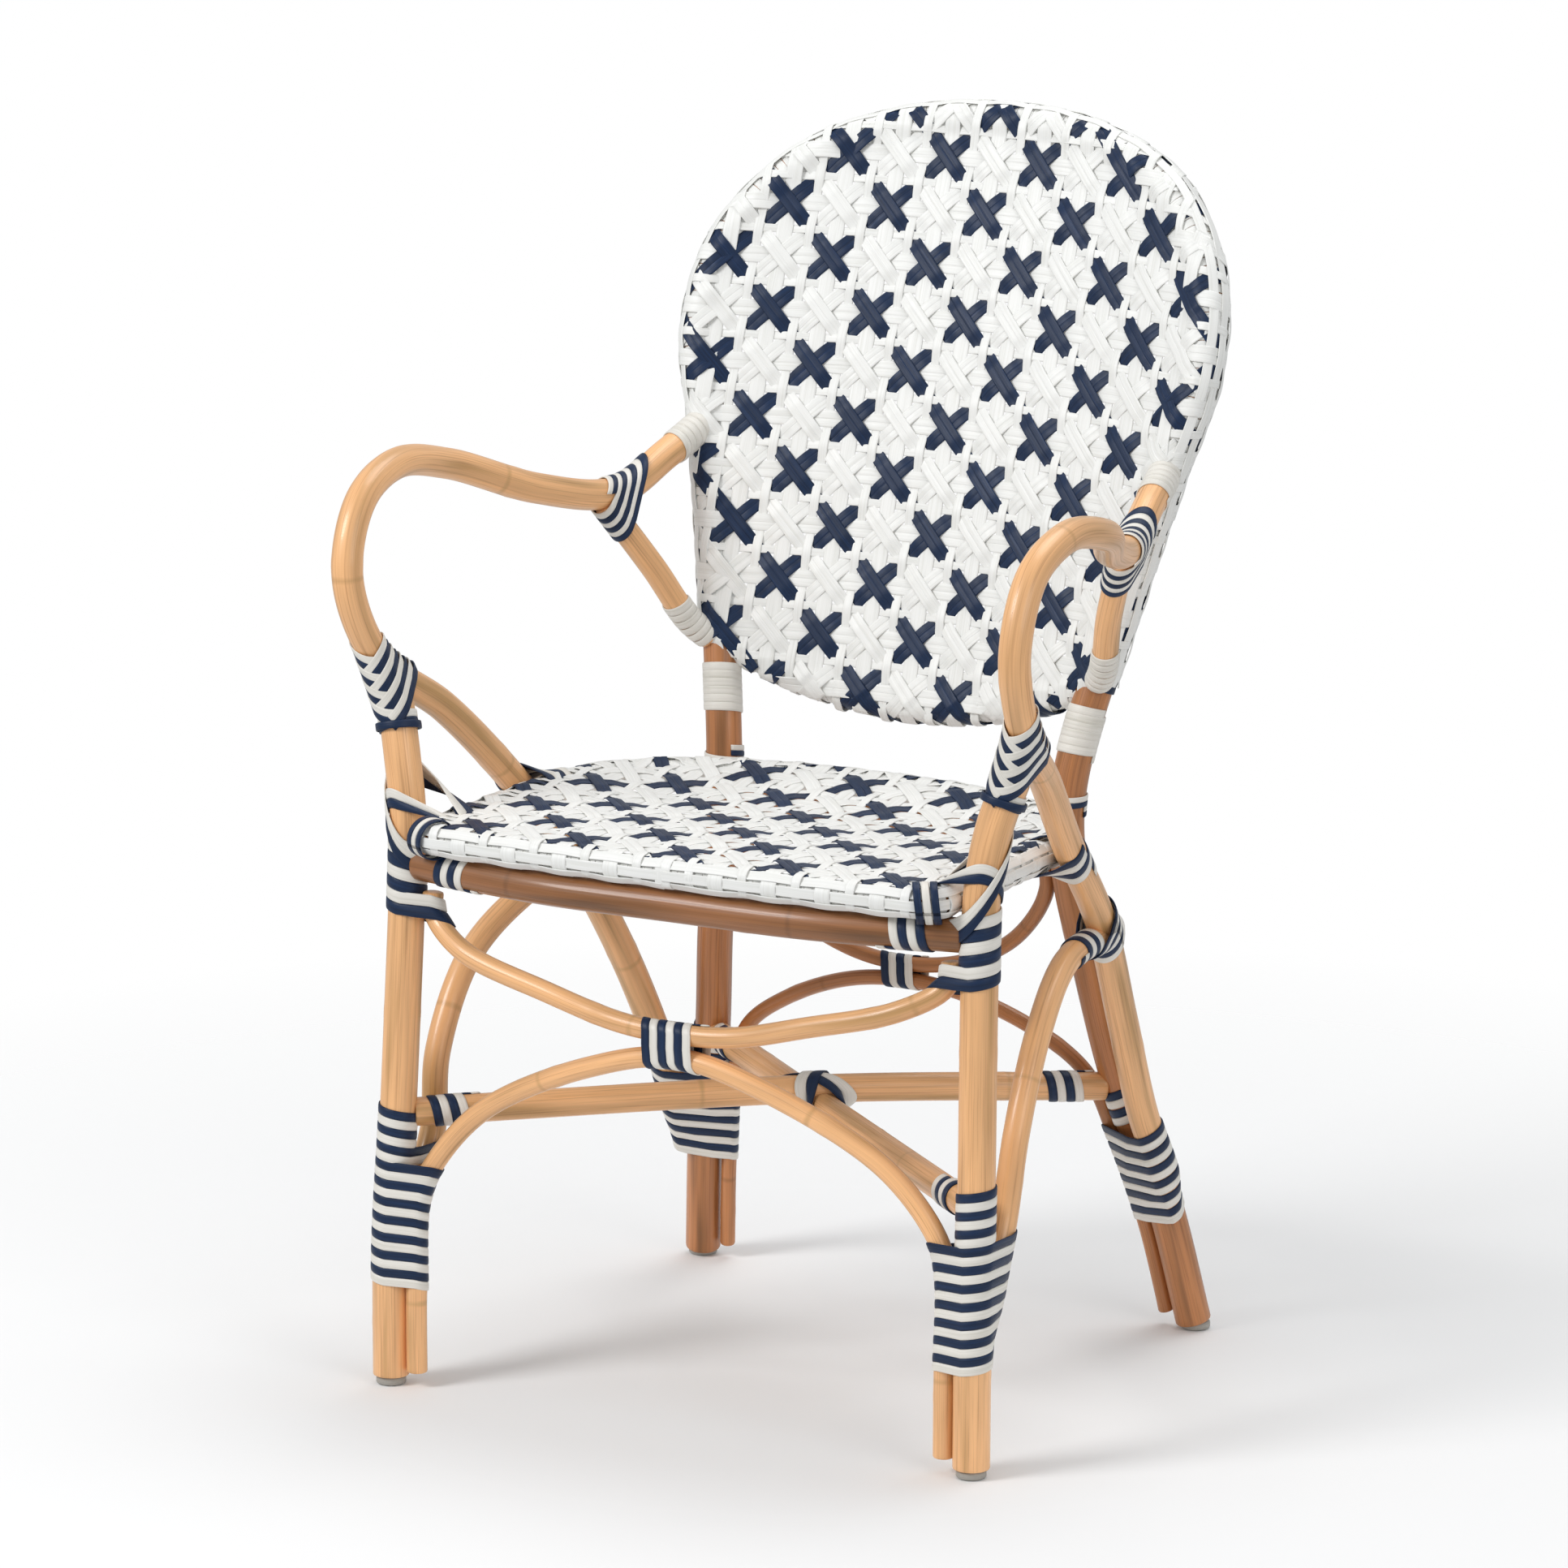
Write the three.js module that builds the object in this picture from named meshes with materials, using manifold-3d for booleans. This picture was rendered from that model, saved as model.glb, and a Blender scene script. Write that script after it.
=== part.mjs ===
// A rattan bistro armchair: bent poles lashed together with two-colour strips, and a woven seat and
// backrest. X runs to the right of someone who faces the chair, Y to its back and Z up, in millimetres.

import * as THREE from "three";
import Module from "manifold-3d";

const wasm = await Module();
wasm.setup();

// Clearances
const clearance = 0.3;
const layerGap = 0.5;
const besideGap = 1.2;

// Heights above the floor
const seatHigh = 443.5;
const armHigh = 697;
const backHigh = 916;
const glideHigh = 6.5;
const tailFoot = 12;

// Spreads, each from the middle plane
const frontHalf = 250;
const rearHalf = 220;
const waistHalf = 151;
const backHalf = 218;

// Depths, from the front feet
const footDepth = 430;
const rootDepth = 360.6;
const backRake = 167.5;
const backBow = 36.5;
const backCurveShare = 0.18;

// Pole radii
const legR = 14;
const hoopR = 14;
const armR = 12;
const propR = 10;
const archR = 10;
const archTipR = 4;
const frontStretcherR = 8;
const rearStretcherR = 6;
const diagonalR = 11;
const lapDepth = 10;
const frontRailR = 13;
const rearRailR = 11;
const bottomRailR = 11;
const seatRingR = 9.4;

// Woven seat and backrest
const weaveWrap = 2.3;
const seatNose = 20;
const seatBack = 326;
const seatThick = 25;
const seatSkin = 5.5;
const seatCorner = 30;
const seatFrontBow = 5;
const seatRecess = 17;
const seatRoundShare = 2.3;
const seatDish = 17;
const backCornerHigh = 522;
const backBottomDrop = 38.5;
const backRimFoot = 508;

// Relief of the weave, a cell of which stands proud at its middle and its corners
const backCellWide = 41;
const backCellHigh = 39.6;
const backCellFoot = 489.2;
const seatCellWide = 44.5;
const seatCellDeep = 45;
const seatCellFront = 13;
const reliefDeep = 1.8;
const reliefCorner = 0.3;
const backWeaveTop = 15.4;
const backWeaveUnder = 10.9;

// Binding strips: one strip of each colour lie side by side as one band
const bandWide = 12;
const bandPitch = 14;
const bandThick = 1.2;
const wrapWide = 7;
const crossWide = 9;
const armBackWide = 7;
const lashWide = 10;
const lashPitch = 11;
const stepsPerTurn = 10;

// Glides
const glideR = 11.5;
const glideFlatR = 9.5;
const glideEdge = 1.2;

// Facets
const facetTurn = 12;
const facetRun = 130;

const leastSide = 1e-4;

const V = (x, y, z) => new THREE.Vector3(x, y, z);
const mirrored = (p) => V(-p.x, p.y, p.z);
const turnsFor = (run) => Math.round((run / bandPitch) * stepsPerTurn) / stepsPerTurn;
const mix = THREE.MathUtils.lerp;
const smooth = (t, a, b) => THREE.MathUtils.smoothstep(t, a, b);

// Height of a level: 0 is the floor, 1 the seat and 2 the top of the arms.
const level = (share) =>
  share < 1 ? share * seatHigh : seatHigh + (share - 1) * (armHigh - seatHigh);

// Depth of the backrest's middle surface at a width and a height
function backDepth(x, z) {
  const u = (z - seatHigh) / (backHigh - seatHigh);
  const rake = (1 - backCurveShare) * u + backCurveShare * u * u;
  return rootDepth + backRake * rake - backBow * (x / backHalf) ** 2;
}

// A pole's middle line as straight runs between rings, which lie closer where it bends, with the pole's
// radius along it
class Route {
  constructor(points, radius) {
    const curve = new THREE.CatmullRomCurve3(points, false, "centripetal");
    this.count = Math.max(24, points.length * 14);
    curve.arcLengthDivisions = this.count * 4;
    const fine = curve.getSpacedPoints(this.count);
    const fineStep = curve.getLength() / this.count;
    const dirs = fine.map((_, i) =>
      fine[Math.min(i + 1, this.count)].clone().sub(fine[Math.max(i - 1, 0)]).normalize(),
    );
    this.knots = [0];
    let turned = 0;
    for (let i = 1; i < this.count; i++) {
      turned += THREE.MathUtils.radToDeg(dirs[i].angleTo(dirs[i - 1]));
      const run = (i - this.knots[this.knots.length - 1]) * fineStep;
      if (turned > facetTurn || run > facetRun) {
        this.knots.push(i);
        turned = 0;
      }
    }
    if (this.count - this.knots[this.knots.length - 1] < 2) this.knots.pop();
    this.knots.push(this.count);
    const ends = fine[0].distanceTo(mirrored(fine[this.count]));
    if (ends < leastSide) {
      const half = this.knots.filter((k) => k < this.count / 2 - 1);
      const back = half.map((k) => this.count - k).reverse();
      this.knots = [...half, this.count / 2, ...back];
    }
    this.rings = this.knots.map((k) => fine[k]);
    this.dirs = this.knots.map((k, j) => {
      const before = this.rings[Math.max(j - 1, 0)];
      const after = this.rings[Math.min(j + 1, this.rings.length - 1)];
      if (j === 0 || j === this.knots.length - 1) return after.clone().sub(before).normalize();
      const one = this.rings[j].clone().sub(before).normalize();
      return one.add(after.clone().sub(this.rings[j]).normalize()).normalize();
    });
    this.points = fine.map((_, i) => {
      const j = this.span(i);
      const w = (i - this.knots[j]) / (this.knots[j + 1] - this.knots[j]);
      return this.rings[j].clone().lerp(this.rings[j + 1], w);
    });
    this.length = fineStep * this.count;
    this.radius = radius;
  }
  span(f) {
    let j = 0;
    while (j < this.knots.length - 2 && this.knots[j + 1] <= f) j++;
    return j;
  }
  step() {
    return this.length / this.count;
  }
  at(d) {
    const f = THREE.MathUtils.clamp(d / this.step(), 0, this.count);
    const i = Math.min(Math.floor(f), this.count - 1);
    return this.points[i].clone().lerp(this.points[i + 1], f - i);
  }
  dir(d) {
    const f = THREE.MathUtils.clamp(d / this.step(), 0, this.count);
    const j = this.span(f);
    const w = (f - this.knots[j]) / (this.knots[j + 1] - this.knots[j]);
    return this.dirs[j].clone().lerp(this.dirs[j + 1], w).normalize();
  }
  near(p) {
    let best = 0;
    this.points.forEach((q, i) => {
      if (q.distanceTo(p) < this.points[best].distanceTo(p)) best = i;
    });
    return best * this.step();
  }
  // Distance along the pole at which it passes a height, searched from its first end
  high(z) {
    for (let i = 0; i < this.count; i++) {
      const a = this.points[i].z - z;
      const b = this.points[i + 1].z - z;
      if (a * b <= 0) return (i + a / (a - b || 1)) * this.step();
    }
    return this.near(this.points[0].clone().setZ(z));
  }
  radiusAt(d) {
    if (typeof this.radius !== "function") return this.radius;
    const f = THREE.MathUtils.clamp(d / this.step(), 0, this.count);
    const j = this.span(f);
    const w = (f - this.knots[j]) / (this.knots[j + 1] - this.knots[j]);
    const at = (k) => this.radius(this.knots[k] * this.step());
    return mix(at(j), at(j + 1), w);
  }
  flipped() {
    const r = this.radius;
    const other = Object.create(Route.prototype);
    Object.assign(other, this);
    other.points = this.points.map(mirrored);
    other.rings = this.rings.map(mirrored);
    other.dirs = this.dirs.map(mirrored);
    other.radius = r;
    return other;
  }
}

// A closed solid from shared points and triangles
function solid(points, tris) {
  const vertProperties = new Float32Array(points.flatMap((p) => [p.x, p.y, p.z]));
  const triVerts = new Uint32Array(tris.flat());
  return new wasm.Manifold(new wasm.Mesh({ numProp: 3, vertProperties, triVerts }));
}

// Rings of equal length joined into a solid, with each end closed by a fan
function loft(rings, capStart = null, capEnd = null) {
  const n = rings[0].length;
  const points = rings.flat();
  const tris = [];
  for (let i = 0; i + 1 < rings.length; i++)
    for (let j = 0; j < n; j++) {
      const a = i * n + j;
      const b = i * n + ((j + 1) % n);
      tris.push([a, b, b + n], [a, b + n, a + n]);
    }
  const middle = (ring) =>
    ring.reduce((s, p) => s.add(p), V(0, 0, 0)).multiplyScalar(1 / ring.length);
  const first = points.push(capStart || middle(rings[0])) - 1;
  const last = points.push(capEnd || middle(rings[rings.length - 1])) - 1;
  const top = (rings.length - 1) * n;
  for (let j = 0; j < n; j++) {
    tris.push([first, (j + 1) % n, j]);
    tris.push([last, top + j, top + ((j + 1) % n)]);
  }
  return solid(points, tris);
}

// Positions along a route at which it has a ring
function ringPlaces(route, from, to) {
  const inside = route.knots.map((k) => k * route.step()).filter((d) => d > from && d < to);
  const least = route.step();
  return [from, ...inside.filter((d) => d - from > least && to - d > least), to];
}

// A round pole along a route. With around set, its flats rather than its corners lie on the radius.
function pole(route, { grow = 0, sides = 10, from = 0, to = route.length, around = false } = {}) {
  const places = ringPlaces(route, from, to);
  const fit = around ? 1 / Math.cos(Math.PI / sides) : 1;
  let side = Math.abs(route.dir(from).x) < 0.8 ? V(1, 0, 0) : V(0, 1, 0);
  const rings = places.map((d) => {
    const dir = route.dir(d);
    side = side.clone().addScaledVector(dir, -side.dot(dir)).normalize();
    const up = dir.clone().cross(side);
    const r = (route.radiusAt(d) + grow) * fit;
    const centre = route.at(d);
    return Array.from({ length: sides }, (_, j) => {
      const a = (j / sides) * Math.PI * 2;
      return centre
        .clone()
        .addScaledVector(side, r * Math.cos(a))
        .addScaledVector(up, r * Math.sin(a));
    });
  });
  return loft(rings);
}

// The largest body that is left after cuts
function largest(made) {
  const bodies = made.decompose();
  return bodies.reduce((a, b) => (b.volume() > a.volume() ? b : a));
}
const cut = (made, ...tools) => largest(tools.reduce((s, t) => s.subtract(t), made));
const above = (made, z) => largest(made.trimByPlane([0, 0, 1], z));
const hollow = (route, grow = clearance, options = {}) =>
  pole(route, { grow, sides: 16, around: true, ...options });

// The oval in which a plane cuts a pole, in the plane's own axes
const slopeFloor = 0.42;
const walkSteps = 6;
function section(core, c, n, x, y) {
  const { route } = core;
  const start = route.near(c);
  let d = start;
  let p = route.at(d);
  let dir = route.dir(d);
  for (let i = 0; i < walkSteps; i++) {
    const rate = dir.dot(n);
    if (Math.abs(rate) < slopeFloor) break;
    d -= p.clone().sub(c).dot(n) / rate;
    const inside = THREE.MathUtils.clamp(d, 0, route.length);
    dir = route.dir(inside);
    p = route.at(inside).addScaledVector(dir, d - inside);
  }
  const slope = Math.max(Math.abs(dir.dot(n)), slopeFloor);
  const side = dir.clone().addScaledVector(n, -dir.dot(n));
  const q = side.length() > leastSide ? side.normalize() : x.clone();
  const local = p.sub(c);
  return {
    cx: local.dot(x),
    cy: local.dot(y),
    qx: q.dot(x),
    qy: q.dot(y),
    stretch: 1 / slope,
    r: route.radiusAt(THREE.MathUtils.clamp(d, 0, route.length)),
  };
}

// How far the ovals reach in a direction
function reach(ovals, angle, extra) {
  const nx = Math.cos(angle);
  const ny = Math.sin(angle);
  return Math.max(
    ...ovals.map((o) => {
      const r = o.r + extra;
      const q = nx * o.qx + ny * o.qy;
      const m = ny * o.qx - nx * o.qy;
      return o.cx * nx + o.cy * ny + r * Math.hypot(o.stretch * q, m);
    }),
  );
}

// The corner of the tangent polygon round the ovals at an angle
function corner(ovals, angle, delta, extra) {
  const a = angle - delta / 2;
  const b = angle + delta / 2;
  const ha = reach(ovals, a, extra);
  const hb = reach(ovals, b, extra);
  const s = Math.sin(delta);
  const px = (ha * Math.sin(b) - hb * Math.sin(a)) / s;
  const py = (hb * Math.cos(a) - ha * Math.cos(b)) / s;
  return [px, py];
}

const frameOf = (axis, t) => {
  const { c, n, ref } = axis(t);
  const x = ref.clone().addScaledVector(n, -ref.dot(n)).normalize();
  return { c, n, x, y: n.clone().cross(x) };
};

const active = (core, t) => t >= (core.from ?? 0) && t <= (core.to ?? 1);

// One strip wound round one or more poles, from one end to the other and, where passes says so, back
function wind(options) {
  const { cores, axis, turns, width, passes = [0, 1], lift = () => 0 } = options;
  const { start = 0, pad = 0, hand = 1, thick = bandThick, loose = 0 } = options;
  const delta = (Math.PI * 2) / stepsPerTurn;
  const samples = Math.round(turns * stepsPerTurn);
  const held = cores.map(() => false);
  const rings = [];
  for (let i = 0; i <= samples; i++) {
    const turned = i / stepsPerTurn;
    const run = (turned / turns) * (passes.length - 1);
    const leg = Math.min(Math.floor(run), passes.length - 2);
    const t = mix(passes[leg], passes[leg + 1], run - leg);
    const f = frameOf(axis, t);
    const angle = start + hand * delta * i;
    const all = cores.map((core) => section(core, f.c, f.n, f.x, f.y));
    all.forEach((o, k) => {
      const want = active(cores[k], t);
      const dx = o.cx - all[0].cx;
      const dy = o.cy - all[0].cy;
      const faces = dx * Math.cos(angle) + dy * Math.sin(angle);
      if (k === 0 || i === 0 || faces < 0) held[k] = want;
    });
    const low = clearance + loose + lift(turned) - pad;
    const high = low + thick + 2 * pad;
    const edge = (along) => {
      const c = f.c.clone().addScaledVector(f.n, along);
      const ovals = cores
        .filter((_, k) => held[k])
        .map((core) => section(core, c, f.n, f.x, f.y));
      return [low, high].map((extra) => {
        const [px, py] = corner(ovals, angle, delta, extra);
        return c.clone().addScaledVector(f.x, px).addScaledVector(f.y, py);
      });
    };
    const half = width / 2 + pad;
    const [a, d] = edge(-half);
    const [b, e] = edge(half);
    const ring = [a, b, e, d];
    rings.push(hand > 0 ? ring : ring.reverse());
  }
  return { rings, made: stripSolid(rings) };
}

function stripSolid(rings) {
  const points = rings.flat();
  const tris = [];
  for (let i = 0; i + 1 < rings.length; i++)
    for (let j = 0; j < 4; j++) {
      const a = i * 4 + j;
      const b = i * 4 + ((j + 1) % 4);
      tris.push([a, b + 4, a + 4], [a, b, b + 4]);
    }
  const e = (rings.length - 1) * 4;
  tris.push([0, 2, 1], [0, 3, 2], [e, e + 1, e + 2], [e, e + 2, e + 3]);
  return solid(points, tris);
}

// Least distance between two loops of one strip, measured on its points
function leastGap(rings) {
  let least = Infinity;
  const apart = Math.ceil(stepsPerTurn * 0.6);
  for (let i = 0; i < rings.length; i++)
    for (let j = i + apart; j < rings.length; j++)
      for (const p of rings[i])
        for (const q of rings[j]) least = Math.min(least, p.distanceTo(q));
  return least;
}

// A closed sleeve round the same poles, which stands for the winding where another piece is cut to it
function sleeve({ cores, axis, from = -0.1, to = 1.1, early = 0.12, extra, rings = 8 }) {
  const delta = Math.PI / 8;
  const made = Array.from({ length: rings + 1 }, (_, i) => {
    const t = mix(from, to, i / rings);
    const f = frameOf(axis, t);
    const ovals = cores
      .filter((core, k) => k === 0 || active(core, t + early))
      .map((core) => section(core, f.c, f.n, f.x, f.y));
    return Array.from({ length: 16 }, (_, j) => {
      const [px, py] = corner(ovals, j * delta, delta, extra);
      return f.c.clone().addScaledVector(f.x, px).addScaledVector(f.y, py);
    });
  });
  return loft(made);
}

const wrapGrow =
  (legR + clearance + bandThick) / Math.cos(Math.PI / stepsPerTurn) - legR + clearance;

// Points beside a pole at a height, on the side that an angle names
function beside(route, z, angle, distance) {
  const p = route.at(route.high(z));
  return V(p.x + Math.cos(angle) * distance, p.y + Math.sin(angle) * distance, z);
}

// Front leg: middle line as shares of the front spread and the foot depth, and a level
const legShares = [
  [1.0, 0.004, 0.246],
  [0.992, 0.023, 0.4645],
  [0.984, 0.036, 0.667],
  [0.978, 0.047, 0.848],
  [0.979, 0.055, 0.992],
  [1.007, 0.064, 1.164],
  [1.058, 0.088, 1.341],
];
const placed = (shares, wide = frontHalf) =>
  shares.map(([x, y, z]) => V(x * wide, y * footDepth, level(z)));
const leg = new Route([V(frontHalf, 0, 0), ...placed(legShares)], legR);

// Back hoop: two posts that rise from the rear feet, draw in at the seat and close in an arch
const postShares = [
  [0.248, 0.754, 0.706],
  [0.46, 0.42, 0.376],
  [0.67, 0.203, 0.129],
  [0.86, 0, 0],
  [1, 0, 0],
];
const hoopSideShares = [
  [0.3, 0.403],
  [0.509, 0.746],
  [0.653, 1],
];
const hoopTopShares = [
  [0.795, 0.954],
  [0.9175, 0.734],
  [0.981, 0.399],
  [1, 0],
];
const waistDepth = backDepth(waistHalf, seatHigh);
const backLevel = (share) => mix(seatHigh, backHigh, share);
const onBack = (x, z) => V(x, backDepth(x, z), z);
const hoopHalf = [
  V(rearHalf, footDepth, 0),
  ...postShares.map(([z, x, y]) =>
    V(mix(waistHalf, rearHalf, x), mix(waistDepth, footDepth, y), z * seatHigh),
  ),
  ...hoopSideShares.map(([z, x]) => onBack(mix(waistHalf, backHalf, x), backLevel(z))),
  ...hoopTopShares.map(([z, x]) => onBack(x * backHalf, backLevel(z))),
];
const hoop = new Route([...hoopHalf, ...hoopHalf.slice(0, -1).reverse().map(mirrored)], hoopR);
const hoopAt = (z) => hoop.at(hoop.high(z));

// Arm pole: from the hoop forward as the armrest, round the front loop, and down as a brace
const armShares = [
  [0.84, 0.83, 1.87],
  [0.888, 0.698, 1.787],
  [0.988, 0.514, 1.842],
  [1.12, 0.337, 1.957],
  [1.14, 0.174, 2.0],
  [1.136, 0.051, 1.917],
  [1.128, 0.002, 1.712],
  [1.1, 0.07, 1.452],
  [1.028, 0.228, 1.254],
  [0.964, 0.386, 1.002],
  [0.924, 0.56, 0.8275],
  [0.876, 0.702, 0.622],
  [0.852, 0.814, 0.428],
];
const armRootShare = 1.949;
const braceMeetShare = 0.316;
const braceTipShare = 0.22;
const braceTipR = 5;
const braceSide = THREE.MathUtils.degToRad(-42);
const braceEnd = beside(hoop, level(braceTipShare), braceSide, hoopR + braceTipR + clearance);
const braceMeet = beside(hoop, level(braceMeetShare), braceSide, hoopR + armR + clearance);
const armLine = [hoopAt(level(armRootShare)), ...placed(armShares), braceMeet, braceEnd];
const arm = new Route(armLine, armR);
const braceMeetAt = arm.near(braceMeet);
arm.radius = (d) => mix(armR, braceTipR, smooth(d, braceMeetAt, arm.length));

// Prop: short pole under the back of the armrest
const propShares = [
  [0.72, 0.795, 1.369],
  [0.792, 0.7325, 1.55],
];
const propRootShare = 1.29;
const propTopDepthShare = 0.655;
const armAtDepth = (share) =>
  arm.points.find((p, i) => i > 2 && p.y < share * footDepth) || arm.points[3];
const prop = new Route(
  [hoopAt(level(propRootShare)), ...placed(propShares), armAtDepth(propTopDepthShare).clone()],
  propR,
);

// Side arch: its thinned foot lies behind the front leg and its top butts on the brace
const archShares = [
  [0.986, 0.135, 0.417],
  [0.996, 0.165, 0.5524],
  [0.98, 0.263, 0.7035],
  [0.932, 0.419, 0.789],
];
const archTopShare = 0.805;
const archTipShare = 0.195;
const archFootShare = 0.24;
const archJoinShare = 0.31;
const behind = Math.PI / 2;
const braceAt = (z) => {
  const turn = arm.near(V(frontHalf, 0, level(1.5)));
  for (let d = turn; d < arm.length; d += arm.step()) if (arm.at(d).z < z) return arm.at(d);
  return braceMeet.clone();
};
const archTip = beside(leg, level(archTipShare), behind, legR + archTipR + clearance);
const archFoot = beside(leg, level(archFootShare), behind, legR + mix(archTipR, archR, 0.6) + clearance);
const archJoin = beside(leg, level(archJoinShare), behind, legR + archR + archTipR + clearance);
const arch = new Route(
  [archTip, archFoot, archJoin, ...placed(archShares), braceAt(level(archTopShare))],
  archR,
);
const archJoinAt = arch.near(archJoin);
arch.radius = (d) => mix(archTipR, archR, smooth(d, 0, archJoinAt));

// Seat frame heights
const seatLow = seatHigh - seatThick;
const rimR = seatThick / 2;
const rimHigh = seatHigh - rimR;
const frontRailHigh = seatLow - clearance - frontRailR;
const rearRailHigh = seatLow - clearance - rearRailR;
const inner = Math.PI;

// Front stretchers: a hanging bow above and an arch below, bound together at their middle
const frontBowShares = [
  [0.856, 0.04, 0.814],
  [0.728, 0.01, 0.7757],
  [0.448, 0.0, 0.7328],
  [0.192, 0.002, 0.6967],
];
const frontBowLowShare = 0.69;
const frontBowEndShare = 0.86;
const frontArchShares = [
  [0.864, 0.023, 0.3946],
  [0.688, 0.023, 0.5028],
  [0.296, 0.007, 0.611],
];
const frontArchLevelShare = 0.335;
const tieGap = 2.6;
const both = (half) => [...half, ...half.slice(0, -1).reverse().map(mirrored)];
const bowBelowRail = 8;
const bowSide = legR + frontStretcherR + besideGap;
const bowTop = frontRailHigh - frontRailR - bowBelowRail;
const bowSecond = Math.min(level(frontBowEndShare), mix(level(frontBowShares[0][2]), bowTop, 0.5));
const frontBowMid = V(0, 0.002 * footDepth, level(frontBowLowShare));
const frontBow = new Route(
  both([
    beside(leg, bowTop, inner, bowSide),
    beside(leg, bowSecond, inner, bowSide),
    ...placed(frontBowShares),
    frontBowMid,
  ]),
  frontStretcherR,
);
const frontArchMid = frontBowMid.clone();
frontArchMid.z -= 2 * frontStretcherR + tieGap;
const tailHighs = [0, level(frontArchLevelShare / 2), level(frontArchLevelShare)];
const frontArch = new Route(
  both([
    ...tailHighs.map((z) => beside(leg, z, inner, bowSide)),
    ...placed(frontArchShares),
    frontArchMid,
  ]),
  frontStretcherR,
);

// Rear stretchers: the same pair, thinner, between the rear legs
const rearBowShares = [
  [0.662, 0.8256, 0.71],
  [0.331, 0.837, 0.6494],
];
const rearBowLowShare = 0.6336;
const rearBowEndShares = [0.88, 0.81];
const rearArchShares = [
  [0.993, 0.879, 0.469],
  [0.728, 0.865, 0.5366],
  [0.331, 0.844, 0.5907],
];
const rearArchLevelShares = [0.2, 0.36];
const rearDepthShare = 0.837;
const rearSide = hoopR + rearStretcherR + 2 * besideGap;
const rearTie = 1;
const rearBowMid = V(0, rearDepthShare * footDepth, level(rearBowLowShare));
const rearBow = new Route(
  both([
    ...rearBowEndShares.map((s) => beside(hoop, level(s), inner, rearSide)),
    ...placed(rearBowShares, waistHalf),
    rearBowMid,
  ]),
  rearStretcherR,
);
const rearArchMid = rearBowMid.clone();
rearArchMid.z -= 2 * rearStretcherR + rearTie;
const rearArch = new Route(
  both([
    beside(hoop, 0, inner, rearSide),
    ...rearArchLevelShares.map((s) => beside(hoop, level(s), inner, rearSide)),
    ...placed(rearArchShares, waistHalf),
    rearArchMid,
  ]),
  rearStretcherR,
);

// Diagonal stretchers between opposite legs, lapped where they cross
const diagonalHighShares = { front: 0.4758, rear: 0.4555, middle: 0.479 };
const diagonalLowShares = { front: 0.4544, rear: 0.451 };
function diagonal(side, frontShare, rearShare, middleHigh) {
  const a = leg.at(leg.high(level(frontShare)));
  const b = hoopAt(level(rearShare));
  const start = V(-side * a.x, a.y, a.z);
  const end = V(side * b.x, b.y, b.z);
  const meet = a.x / (a.x + b.x);
  const middle = start.clone().lerp(end, meet).setZ(middleHigh);
  return new Route([start, middle, end], diagonalR);
}
const upperHigh = level(diagonalHighShares.middle);
const lowerHigh = upperHigh - 2 * diagonalR + lapDepth;
const diagonalA = diagonal(1, diagonalHighShares.front, diagonalHighShares.rear, upperHigh);
const diagonalB = diagonal(-1, diagonalLowShares.front, diagonalLowShares.rear, lowerHigh);

// Seat outline: a slightly bowed front, round corners, sides that draw in, and a round back
const legAtSeat = leg.at(leg.high(rimHigh));
const braceAtSeat = braceAt(rimHigh);
const sideFront = legAtSeat.x - legR - clearance;
const sideRear = Math.min(sideFront, braceAtSeat.x - armR - clearance);
const outlineSteps = { front: 5, corner: 5, back: 12 };
function seatOutline() {
  const half = [];
  const run = sideFront - seatCorner;
  for (let i = 0; i < outlineSteps.front; i++) {
    const s = i / outlineSteps.front;
    half.push([s * run, seatFrontBow * s * s - seatNose]);
  }
  for (let i = 0; i <= outlineSteps.corner; i++) {
    const a = (i / outlineSteps.corner) * (Math.PI / 2);
    half.push([
      run + seatCorner * Math.sin(a),
      seatFrontBow - seatNose + seatCorner * (1 - Math.cos(a)),
    ]);
  }
  half.push([mix(sideFront, sideRear, 0.5), mix(legAtSeat.y, braceAtSeat.y, 0.5)]);
  for (let i = 0; i <= outlineSteps.back; i++) {
    const a = (i / outlineSteps.back) * (Math.PI / 2);
    const sx = Math.cos(a) ** (2 / seatRoundShare);
    const sy = Math.sin(a) ** (2 / seatRoundShare);
    half.push([sideRear * sx, mix(braceAtSeat.y, seatBack, sy)]);
  }
  const left = half
    .slice(1, -1)
    .reverse()
    .map(([x, y]) => [-x, y]);
  return [...half, ...left].map(([x, y]) => new THREE.Vector2(x, y));
}
const outline = seatOutline();
const outlineNormals = outline.map((_, i) => {
  const n = outline.length;
  const t = outline[(i + 1) % n].clone().sub(outline[(i + n - 1) % n]).normalize();
  return new THREE.Vector2(-t.y, t.x);
});
const inset = (by, z) =>
  outline.map((p, i) => {
    const q = p.clone().addScaledVector(outlineNormals[i], by);
    return V(q.x, q.y, z);
  });
const seatCentre = (z) => V(0, mix(-seatNose, seatBack, 0.5), z);

// Front and rear rails under the seat, and the ring inside its woven edge
const frontRail = new Route(
  both([
    leg.at(leg.high(frontRailHigh)).setZ(frontRailHigh),
    V(sideFront / 2, mix(rimR - seatNose, legAtSeat.y, 0.2), frontRailHigh),
    V(0, rimR - seatNose + seatFrontBow, frontRailHigh),
  ]),
  frontRailR,
);
const rearRail = new Route(
  both([
    hoopAt(rearRailHigh).setZ(rearRailHigh),
    V(waistHalf / 2, mix(seatBack - rimR, waistDepth, 0.25), rearRailHigh),
    V(0, seatBack - rimR, rearRailHigh),
  ]),
  rearRailR,
);
const ringLine = inset(rimR, rimHigh);

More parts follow.
